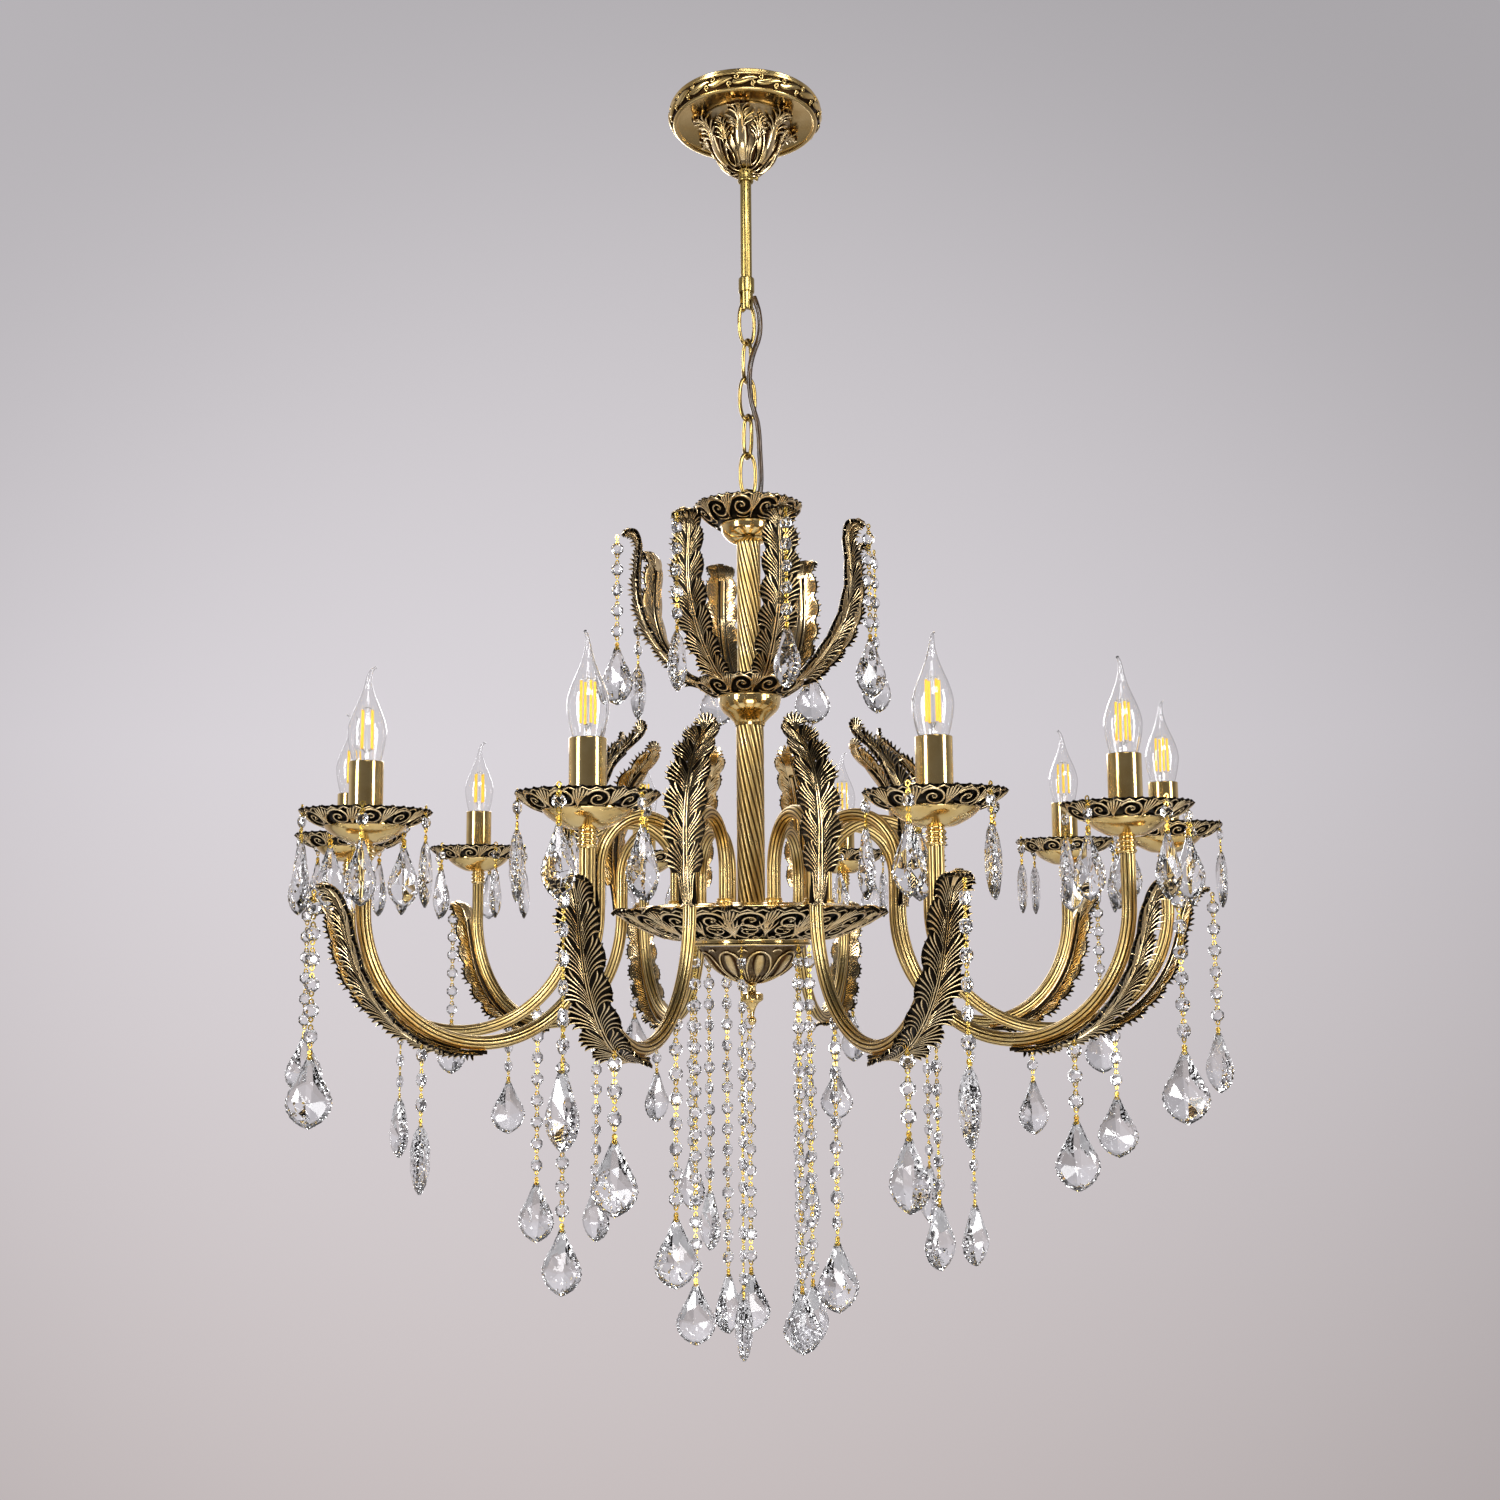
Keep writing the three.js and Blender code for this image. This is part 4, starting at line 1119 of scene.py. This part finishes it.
CANDLE = {"plate_top": -822.0, "plate_radius": 57.5, "cup_radius": 37.0, "sleeve_radius": 15.5,
          "sleeve_top": -778.0}


def nipple_and_cup_shape():
    foot = ARM["top"] + 0.3
    rings = [(5, foot), (7.6, foot)]
    for k in range(3):
        level = foot + 1.0 + 4.6 * k
        rings += [(7.6, level), (8.6, level + 0.9), (8.6, level + 2.2), (7.2, level + 3.1), (7.2, level + 4.2)]
    rings += [(7.4, foot + 15.4), (5, foot + 15.4)]
    cup_foot = foot + 15.0
    high = CANDLE["plate_top"] - 13.4
    rim = CANDLE["cup_radius"]
    outside = spline([(9, cup_foot), (16, cup_foot + 1.2), (26, cup_foot + 6.0), (33, cup_foot + 11),
                      (rim - 0.4, high - 2.6), (rim, high - 0.8)], 7)
    inside = spline([(rim - 1.2, high), (rim - 1.8, high - 2.2), (32, cup_foot + 12), (25, cup_foot + 7.4),
                     (15, cup_foot + 2.8), (6, cup_foot + 1.6)], 7)
    cup = turned(np.vstack([[(6, cup_foot)], outside, inside]), 112, closed=True)
    return join([turned(rounded(rings, 0.4, 3), 56, closed=True), cup])


def drip_plate_shape():
    high, radius = CANDLE["plate_top"], CANDLE["plate_radius"]
    low = high - 14
    outside = spline([(radius - 1, high - 1.4), (radius - 5, high - 5.4), (radius - 12, high - 10.6),
                      (radius - 20, low + 0.4)], 7)
    inside = spline([(radius - 8, high - 5), (radius - 20, high - 9.4), (24, high - 10), (6, high - 10)], 5)
    rim = [(radius - 1.8, high - 0.4), (radius - 3.4, high - 1.2)]
    body = np.vstack([[(6, low)], outside[::-1], rim, inside])
    made = [turned(body, 112, closed=True, relief=0.12), worn_skin(inside)]
    made.append(scroll_border(outside, radius - 6, 11, body=1.0, wing=2.2))
    return join(made)


def sleeve_shape():
    low, high, radius = CANDLE["plate_top"] - 11.6, CANDLE["sleeve_top"], CANDLE["sleeve_radius"]
    tube = rounded([(14.3, low), (radius, low), (radius, high - 0.6), (radius - 0.5, high), (14.3, high)],
                   0.35, 4)
    collar = rounded([(14, low), (17.6, low), (17.6, low + 1.6), (16.2, low + 2.6), (14, low + 2.6)], 0.4, 3)
    return join([turned(tube, 80, closed=True), turned(collar, 64, closed=True)])


def lamp_holder_shape():
    low, high = CANDLE["plate_top"] - 8.0, CANDLE["sleeve_top"] - 7.0
    profile = [(0.01, low), (13.6, low), (13.6, high), (12.6, high + 0.8), (8.2, high + 0.8), (7.6, high - 0.4),
               (7.6, high - 26), (0.01, high - 26)]
    return turned(rounded(profile, 0.4, 3), 48, closed=True)


BULB = {"radius": 17.5, "base": -812.0, "cap_top": -793.0, "widest": -752.0, "tip": -689.0}


def bulb_glass_shape():
    """A blown flame: a thin shell whose drawn-out tip bends to one side and ends in a tiny bead."""
    widest, radius = BULB["widest"], BULB["radius"]
    neck = BULB["cap_top"]
    outline = spline([(6.9, neck), (8.6, neck + 5), (12.4, widest - 27), (15.9, widest - 13), (radius, widest),
                      (16.4, widest + 9), (13.2, widest + 19), (9.0, widest + 29), (5.6, widest + 38),
                      (3.5, widest + 46)], 7)
    tail = spline([(0, widest + 46), (0.5, widest + 51), (2.0, widest + 56.5), (4.6, widest + 60.2),
                   (7.2, BULB["tip"] - 1.1)], 6)[1:]
    shares, sizes = [0, 0.35, 0.7, 0.88, 0.95, 1], [3.2, 2.2, 1.35, 1.1, 1.5, 0.5]
    tail_size = np.interp(np.linspace(0, 1, len(tail)), shares, sizes)
    centre = np.concatenate([0 * outline[:, 0], tail[:, 0]])
    height = np.concatenate([outline[:, 1], tail[:, 1]])
    line = np.stack([centre, 0 * centre, height], -1)
    reach = np.concatenate([outline[:, 0], tail_size])

    def wall(inset):
        size = np.maximum(reach - inset, 0.12)
        rows = swept(line, circle(1.0, 40), up=(0, 1, 0), scale=size, caps=False)["points"]
        return rows.reshape(len(line), 40, 3)

    return skin(np.concatenate([wall(0.55)[-4::-1], wall(0.0)]), caps=True)


def bulb_cap_shape():
    low, high = BULB["base"], BULB["cap_top"]
    outline = [(0.01, low), (2.4, low), (3.0, low + 1.6), (5.2, low + 2.2)]
    for k in range(5):
        level = low + 2.6 + 2.7 * k
        outline += [(6.1, level), (6.7, level + 0.7), (6.7, level + 1.3), (6.1, level + 2.0)]
    outline += [(6.6, low + 16.5), (6.8, high), (0.01, high)]
    return turned(np.array(outline), 32)


def bulb_inside_shapes():
    """Glass stem, support wires, and four yellow filament sticks that lean in a little at the top."""
    stem = turned(spline([(0.01, -793), (5.4, -792), (3.0, -784), (2.0, -774), (2.2, -767), (0.01, -766)], 6), 20)
    rods, wires = [], []
    low, high = -766.0, -731.0
    for k in range(4):
        angle = math.radians(45 + 90 * k)
        foot = np.array([6.4 * math.cos(angle), 6.4 * math.sin(angle), low])
        head = np.array([6.0 * math.cos(angle), 6.0 * math.sin(angle), high])
        path = np.linspace(foot, head, 6)
        rods.append(swept(path, circle(1.2, 10), up=(1, 0, 0.01)))
        lower = np.array([(0.6, 0, low - 4), foot * (0.6, 0.6, 1) - (0, 0, 1.6), foot, foot + (0, 0, 1)])
        upper = np.array([head - (0, 0, 1), head + (0, 0, 1.4), (0, 0, high + 3.0)])
        wires += [swept(path, circle(0.22, 6), up=(1, 0, 0.01)) for path in (lower, upper)]
    wires.append(swept(np.array([(0, 0, -770), (0, 0, -750), (0, 0, high + 3.4)]), circle(0.25, 6), up=(1, 0, 0)))
    return stem, join(rods), join(wires)


# Crystals --------------------------------------------------------------------------------------------

PITCH = 22.4


def cut_stone(rings, sides=8):
    """A faceted stone between rings of (depth, radius, turned by half a side or not). It faces along X."""
    points, faces = [], []
    for depth, radius, half in rings:
        angles = 2 * np.pi * (np.arange(sides) + 0.5 * half) / sides
        points.append(np.stack([np.full(sides, depth), radius * np.sin(angles), radius * np.cos(angles)], -1))
    k = np.arange(sides)
    after = (k + 1) % sides
    for i, (a, b) in enumerate(zip(rings, rings[1:])):
        low, high = i * sides, (i + 1) * sides
        if a[2] == b[2]:
            faces.append(np.stack([low + k, low + after, high + after, high + k], -1))
        elif a[2]:
            faces.append(np.stack([low + k, high + k, high + after], -1))
            faces.append(np.stack([low + k, high + after, low + after], -1))
        else:
            faces.append(np.stack([low + k, high + k, low + after], -1))
            faces.append(np.stack([high + k, high + after, low + after], -1))
    faces.append(k[None, ::-1])
    faces.append(k[None, :] + (len(rings) - 1) * sides)
    points = np.concatenate(points)
    return {"points": points, "faces": faces, "relief": np.ones(len(points))}


def bead_shape(radius):
    depths = [(0.52, 0.46, 1), (0.38, 0.76, 0), (0.10, 1.0, 1),
              (-0.10, 1.0, 1), (-0.38, 0.76, 0), (-0.52, 0.46, 1)]
    return cut_stone([(d * radius, r * radius, half) for d, r, half in depths])


# The drop's right side and the corners of its middle facets, as shares of its half width and its length.
DROP_OUTLINE = [(0.12, 0.0), (0.20, 0.06), (0.33, 0.15), (0.50, 0.26), (0.69, 0.37), (0.87, 0.48), (0.98, 0.58),
                (1.0, 0.66), (0.93, 0.75), (0.78, 0.83), (0.56, 0.905), (0.28, 0.96)]
DROP_KEYS = [(0.0, 0.12), (0.42, 0.42), (0.66, 0.60), (0.40, 0.76), (0.0, 0.86), (-0.40, 0.76), (-0.66, 0.60),
             (-0.42, 0.42)]
DROP_PEAKS = [(0.0, 0.36), (0.0, 0.64)]
# How thick half a drop is at its edge, bevel, facet corners and peaks, as shares of its width.
DROP_THICKNESS = np.array([0.030, 0.105, 0.140, 0.215])


def drop_shape(width, length):
    """A flat leaf shaped pendant: a scalloped, bevelled edge, long slanting planes, and a raised middle."""
    right = spline(DROP_OUTLINE, 2)
    nick = 1 - 0.055 * (np.arange(len(right)) % 2)
    right = np.stack([right[:, 0] * nick, right[:, 1]], -1)
    loop = np.vstack([right, [[0.02, 1.0]], right[::-1] * np.array([-1, 1])])
    count = len(loop)
    centre = np.array([0.0, 0.55])
    bevel = centre + 0.85 * ((loop + np.roll(loop, -1, 0)) / 2 - centre)
    keys = np.array(DROP_KEYS)
    inner = len(keys)
    gap = bevel[:, None] - keys[None]
    nearest = np.argmin(np.hypot(gap[..., 0] * width / 2, gap[..., 1] * length), 1)
    flat = np.vstack([loop, bevel, keys, DROP_PEAKS]) * np.array([width / 2, -length])
    thick = np.repeat(DROP_THICKNESS * width, [count, count, inner, len(DROP_PEAKS)])
    peak_of = [0 if key[1] < 0.5 else 1 for key in keys]
    points, faces = [], []
    for side in (1, -1):
        base = 0 if side == 1 else len(flat)
        ring, key, peak = base + count, base + 2 * count, base + 2 * count + inner
        points.append(np.column_stack([thick * side, flat]))
        for i in range(count):
            j = (i + 1) % count
            faces += [[base + i, base + j, ring + i], [base + j, ring + j, ring + i]]
            faces.append([ring + i, ring + j, key + nearest[i]])
            if nearest[i] != nearest[j]:
                faces.append([ring + j, key + nearest[j], key + nearest[i]])
        for i in range(inner):
            j = (i + 1) % inner
            first, second = peak + peak_of[i], peak + peak_of[j]
            faces.append([key + i, key + j, first])
            if first != second:
                faces.append([key + j, second, first])
    other = len(flat)
    edge = [np.array([[i, (i + 1) % count, other + (i + 1) % count, other + i]]) for i in range(count)]
    points = np.concatenate(points)
    return {"points": points, "faces": [np.array([face]) for face in faces] + edge, "relief": np.ones(len(points))}


def connector_shape(length):
    """A gold bow tie pin: two wire eyes and the twist between them."""
    made = []
    for hand in (-1, 1):
        angles = np.linspace(0, 2 * np.pi, 12, endpoint=False)
        middle = hand * (length / 2 - 2.0)
        ring = np.stack([0 * angles, 1.75 * np.cos(angles), middle + 2.2 * np.sin(angles)], -1)
        made.append(swept(ring, circle(0.72, 6), closed=True, up=(1, 0, 0)))
        made.append(ball(1.15, (0, 0, hand * 1.5), sides=8))
    return join(made)


def strand_shapes(beads, seed, radius=7.0, first=0.5, pitch=PITCH, drop=(42, 62), twist=14):
    """The crystals and the gold pins of one hanging strand, with its hook at z = 0 and its faces along X."""
    rng = np.random.default_rng(seed)
    bead, pin = bead_shape(radius), connector_shape(pitch - 2 * radius + 2.6)
    stones, pins = [], []
    hook = [(0, 0.9 * math.sin(a), 1.2 * math.cos(a) - 0.4) for a in np.linspace(0, 5.2, 12)]
    pins.append(swept(hook, circle(0.55, 6), up=(1, 0, 0)))
    pins.append(moved(pin, Matrix.Translation((0, 0, -(first - 0.5) * pitch - 1.2))))
    for i in range(beads):
        level = -(i + first) * pitch
        turn = Matrix.Rotation(math.radians(rng.uniform(-twist, twist)), 4, "Z")
        stones.append(moved(bead, Matrix.Translation((0, 0, level)) @ turn))
        pins.append(moved(pin, Matrix.Translation((0, 0, level - pitch / 2)) @ turn))
    hang = -(beads + first - 0.2) * pitch
    turn = Matrix.Rotation(math.radians(rng.uniform(-3 * twist, 3 * twist)), 4, "Z")
    stones.append(moved(drop_shape(*drop), Matrix.Translation((0, 0, hang)) @ turn))
    pins.append(moved(connector_shape(8), Matrix.Translation((0, 0, hang + 1.5)) @ turn))
    return join(stones), join(pins)


# The whole object ------------------------------------------------------------------------------------

BRIGHT = (0.88, 0.67, 0.30)
GOLD_DEEP = (0.70, 0.48, 0.17)
ANTIQUE = (1.0, 0.80, 0.48)
ANTIQUE_DEEP = (0.84, 0.60, 0.28)


def build_ceiling_fitting(look):
    for name, shape, material, body, slot, node in (
        ("canopy", canopy_shape(), "warm", "canopy", "polished_gold", "ceiling_canopy"),
        ("leaf_cup", leaf_cup_shape(), "warm_relief", "canopy", "antique_gold", "canopy_leaf_cup"),
        ("collar", rod_collar_shape(), "satin", "canopy", "polished_gold", "rod_collar"),
        ("rod", rod_shape(), "satin", "ceiling_mount", "polished_gold", "down_rod"),
        ("coupling", coupling_shape(), "satin", "ceiling_mount", "polished_gold", "chain_coupling"),
    ):
        piece(name, mesh_of(name, shape, look[material]), body, slot, [node])


BLOCK_OUT = 27
SCREWS_OUT = 52


def terminal_block_shape():
    """A small connector block with its clamp screws."""
    body = rounded([(-12, -6), (12, -6), (12, 6), (-12, 6)], 1.2, 4)
    slab = np.array([np.column_stack([body, np.full(len(body), z)]) for z in (-2.8, -3.2, -11.8, -12.2)])
    made = [skin(slab, caps=True)]
    for x in (-7.5, 0, 7.5):
        made.append(moved(turned([(0.01, -14.4), (1.9, -14.4), (2.5, -13.6), (2.5, -11), (0.01, -11)], 16),
                          Matrix.Translation((x, 0, 0))))
    return join(made)


def ceiling_wire(x):
    """One short lead, from the ceiling down beside the block, where it ends."""
    path = spline([(x + 26, 24, -0.6), (x + 25, 24, -7), (x + 25, 16, -9), (x + 24, 4, -8)], 8)
    return swept(path, circle(1.3, 12))


def build_ceiling_wiring(look):
    block = mesh_of("terminal_block", terminal_block_shape(), look["ceramic"])
    piece("terminal_block", block, "ceiling_mount", "cable_skin", (), Matrix.Translation((BLOCK_OUT, 0, 0)))
    leads = join([ceiling_wire(x) for x in (-5.5, 2, 9.5)])
    piece("ceiling_leads", mesh_of("ceiling_leads", leads, look["cable"]), "ceiling_mount", "cable_skin")
    head = turned(rounded([(0.01, -2.6), (5.0, -2.6), (3.8, -5.0), (0.01, -5.4)], 0.5, 3), 24, closed=True)
    for i, x in enumerate((-SCREWS_OUT, SCREWS_OUT)):
        name = f"ceiling_screw_{i + 1}"
        place = Matrix.Translation((x, 0, 0))
        piece(name, mesh_of(name, head, look["steel"]), "ceiling_mount", "steel", (), place)


def build_chain(look):
    riders = ["first_link", "chain_middle", "chain_middle", "chain_middle", "last_link"]
    for i, body in enumerate(riders):
        node = f"chain_link_{i + 1}"
        shape = link_shape(CHAIN_YAW_DEG + 90 * (i % 2), top(node))
        piece(f"link_{i + 1}", mesh_of(f"link_{i + 1}", shape, look["chain"]), body, "polished_gold", [node])
    piece("loop", mesh_of("loop", body_loop_shape(), look["chain"]), "fixture", "polished_gold", ["body_loop"])
    for i, (above, below, bend, shape) in enumerate(cable_stretches()):
        mesh = mesh_of(f"cable_{i + 1}", shape, look["cable"])
        if bend is None:
            piece(f"cable_{i + 1}", mesh, above, "cable_skin", ["supply_cable"])
            continue
        made = bpy.data.objects.new(f"cable_{i + 1}", mesh)
        bpy.context.scene.collection.objects.link(made)
        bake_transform(made)
        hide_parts("supply_cable")


def top_cup_shape():
    high, low = top("top_cup"), bottom("top_cup")
    outline = [(6, low), (15, low), (23, low + 4), (28.6, low + 11), (30, high - 2), (29.4, high), (6, high)]
    return turned(spline(outline, 6), 112)


def crown_bowl_shape():
    high, low = top("crown_bowl"), bottom("crown_bowl")
    outline = [(16, low), (17.5, low + 4), (22, low + 9), (29.5, low + 16), (33, low + 23), (34, high - 1.5),
               (33.4, high), (14, high)]
    return turned(spline(outline, 6), 112)


CROWN_LEAVES = 8
CROWN_FIRST_DEG = -120


def build_stem(look):
    solids = [
        ("rosette_top", rosette_shape("top_rosette", ROSETTE_RADIUS, 30, 11), "worn", "top_rosette"),
        ("cup_top", top_cup_shape(), "polished", "top_cup"),
        ("column_upper", fluted_column("upper_column", 13.0), "fluted", "upper_column"),
        ("ring_crown", rosette_shape("crown_ring", ROSETTE_RADIUS, 30, 11), "worn", "crown_ring"),
        ("cup_crown", crown_bowl_shape(), "polished", "crown_bowl"),
        ("column_lower", fluted_column("lower_column", 15.0), "fluted", "lower_column"),
        ("cover", bowl_cover_shape(), "polished", "bowl_cover"),
        ("rim", bowl_rim_shape(), "worn", "bowl_rim"),
        ("ring", bowl_ring_shape(), "polished", "bowl_ring"),
        ("dome", dome_shape(), "warm_relief", "bowl_dome"),
        ("finial_turned", finial_shape(), "polished", "finial"),
    ]
    for name, shape, material, node in solids:
        slot = "polished_gold" if material == "polished" else "antique_gold"
        piece(name, mesh_of(name, shape, look[material]), "fixture", slot, [node])
    mesh = mesh_of("crown_leaf", crown_leaf_shape(), look["worn"])
    for i in range(CROWN_LEAVES):
        place = around_z(CROWN_FIRST_DEG + 360 / CROWN_LEAVES * i)
        piece(f"crown_leaf_{i + 1}", mesh, "fixture", "antique_gold", ["crown_leaves"], place)


def build_arms(look):
    stem_shape, rods_shape, wires_shape = bulb_inside_shapes()
    # Each piece: the name of its mesh, its shape, material and slot, and what it belongs to and is called there.
    table = [
        ("arm_tube", arm_tube_shape(), "fluted", "polished_gold", "arm", "tube"),
        ("arm_tall_leaf", tall_leaf_shape(), "worn", "antique_gold", "arm", "tall_leaf"),
        ("arm_long_leaf", long_leaf_shape(), "worn", "antique_gold", "arm", "long_leaf"),
        ("candle_cup", nipple_and_cup_shape(), "polished", "polished_gold", "candle", "cup"),
        ("candle_drip_plate", drip_plate_shape(), "worn", "antique_gold", "candle", "drip_plate"),
        ("candle_sleeve", sleeve_shape(), "polished", "polished_gold", "candle", "sleeve"),
        ("candle_lamp_holder", lamp_holder_shape(), "ceramic", "polished_gold", "candle", "lamp_holder"),
        ("bulb_glass", bulb_glass_shape(), "bulb_glass", "bulb_glass", "bulb", "glass"),
        ("bulb_cap", bulb_cap_shape(), "steel", "steel", "bulb", "cap"),
        ("bulb_stem", stem_shape, "bulb_glass", "bulb_glass", "bulb", "stem"),
        ("bulb_filaments", rods_shape, "filament", "steel", "bulb", "filaments"),
        ("bulb_wires", wires_shape, "steel", "steel", "bulb", "wires"),
    ]
    rows = [(mesh_of(mesh, shape, look[material]), *rest) for mesh, shape, material, *rest in table]
    nodes = {"arm": "arm", "candle": "candle_holder", "bulb": "bulb"}
    for i, place in enumerate(arm_places()):
        at_candle = place @ Matrix.Translation((REACH, 0, 0))
        places = {"arm": place, "candle": at_candle, "bulb": at_candle @ around_z(137 * i)}
        for mesh, slot, owner, part in rows:
            body = f"bulb_{i + 1}_screwed" if owner == "bulb" else "fixture"
            spot = at_candle @ around_z(37 * i) if part == "drip_plate" else places[owner]
            piece(f"{owner}_{i + 1}_{part}", mesh, body, slot, [f"{nodes[owner]}_{i + 1}"], spot)


def turned_to_front(place, i):
    """The same spot, with a strand that turns its faces to the front, each by an angle of its own."""
    spread = (47 * i) % 130 - 65
    return Matrix.Translation(place.translation) @ around_z(spread - 90)


def build_crystals(look):
    def meshes(name, **kind):
        stones, wires = strand_shapes(**kind)
        return mesh_of(name, stones, look["crystal"], flat=True), mesh_of(name + "_pins", wires, look["pin"])

    def hang(name, kind, place, stands_for=()):
        piece(name, kind[0], "fixture", "crystal", stands_for, place)
        piece(name + "_pins", kind[1], "fixture", "polished_gold", (), place)

    ring = [meshes(f"ring_strand_{k}", beads=15, seed=k, first=0.75) for k in range(3)]
    short = meshes("ring_strand_short", beads=11, seed=7, first=0.75)
    for i, degrees in enumerate((-10, 53, 88, 127, 183, 207, 230, 265)):
        kind = short if degrees == 230 else ring[i % 3]
        place = turned_to_front(around_z(degrees - 90, 61, bottom("bowl_ring") - 1.0), i)
        hang(f"ring_strand_{i + 1}", kind, place, ["bowl_crystal_strands"])

    tip = [meshes(f"leaf_tip_strand_{k}", beads=6, seed=10 + k) for k in range(2)]
    mid = [meshes(f"leaf_strand_{k}", beads=3, seed=20 + k) for k in range(2)]
    low = [meshes(f"arm_strand_{k}", beads=8 + k, seed=30 + k) for k in range(2)]
    for i, place in enumerate(arm_places()):
        hooks = ((tip[i % 2], "tip", 407, -900), (mid[i % 2], "leaf", 300, -1033),
                 (low[i % 2], "arm", 150, -1008))
        for k, (kind, name, x, z) in enumerate(hooks):
            spot = turned_to_front(place @ Matrix.Translation((x, 0, z)), 3 * i + k)
            hang(f"arm_{i + 1}_{name}_strand", kind, spot)

    crown = [meshes(f"crown_strand_{k}", beads=5, seed=40 + k) for k in range(2)]
    for i in range(CROWN_LEAVES):
        hook = around_z(CROWN_FIRST_DEG + 360 / CROWN_LEAVES * i, 146, -512)
        hang(f"crown_strand_{i + 1}", crown[i % 2], turned_to_front(hook, i + 5))

    stones, wires = [], []
    for k in range(5):
        shapes = strand_shapes(1, 50 + k, radius=6.2, first=0.45, pitch=21, drop=(29, 60), twist=22)
        place = around_z(72 * k, CANDLE["plate_radius"] - 0.5, CANDLE["plate_top"] - 3.0)
        stones.append(moved(shapes[0], place))
        wires.append(moved(shapes[1], place))
    pendants = (mesh_of("pendants", join(stones), look["crystal"], flat=True),
                mesh_of("pendant_pins", join(wires), look["pin"]))
    for i, place in enumerate(arm_places()):
        hang(f"candle_{i + 1}_pendants", pendants, place @ Matrix.Translation((REACH, 0, 0)) @ around_z(23 * i))


def build():
    look = {
        "polished": gold("polished_gold", BRIGHT, GOLD_DEEP, 0.13, (-1, -0.9), grain=0.02),
        # The fluted gold paints dark brown into the flutes of the arms and columns: painted shade between the
        # polished ribs.
        "fluted": gold("fluted_gold_painted_shade", BRIGHT, GOLD_DEEP, 0.28, (0.5, 0.85), (0.07, 0.035, 0.012), grain=0.0,
                       speckle=0.0),
        "worn": gold("black_gold_relief", ANTIQUE, ANTIQUE_DEEP, 0.17, (0.66, 0.98), speckle=0.16),
        "warm": gold("canopy_gold", BRIGHT, GOLD_DEEP, 0.2, (0.1, 0.6), (0.03, 0.014, 0.005), grain=0.04),
        "satin": gold("satin_gold", (0.46, 0.345, 0.115), (0.36, 0.26, 0.08), 0.26, (-1, -0.9), grain=0.03),
        "chain": gold("chain_gold", (0.58, 0.42, 0.15), (0.44, 0.30, 0.09), 0.2, (-1, -0.9), grain=0.03),
        "warm_relief": gold("brown_gold_relief", ANTIQUE, GOLD_DEEP, 0.18, (0.25, 0.85), (0.05, 0.022, 0.008)),
        "pin": gold("pin_gold", (0.95, 0.72, 0.18), (0.85, 0.55, 0.10), 0.22, (-1, -0.9), grain=0.02),
        "steel": steel_material(),
        "bulb_glass": glass_material("clear_bulb_glass", 1.45, (1, 1, 1), 0.02),
        "crystal": glass_material("cut_crystal", 1.64, (0.985, 0.99, 1.0), 0.01),
        "filament": filament_material(),
        "cable": cable_material(),
        "ceramic": ceramic_material(),
    }
    build_ceiling_fitting(look)
    build_ceiling_wiring(look)
    build_chain(look)
    build_stem(look)
    build_arms(look)
    build_crystals(look)
    for name in ("ceiling_bracket", "center_tie_rod"):
        data = frame["nodes"][name].data
        data.materials.clear()
        data.materials.append(look["steel"])


def make_floor():
    high, edge = FLOOR_HEIGHT / MM, FLOOR_RADIUS / MM
    disc = turned([(0.01, high - 10), (edge, high - 10), (edge, high), (0.01, high)], 96)
    floor = bpy.data.objects.new("floor", mesh_of("floor", disc, floor_material()))
    bpy.context.scene.collection.objects.link(floor)


make_camera()
make_studio()
make_floor()
build()
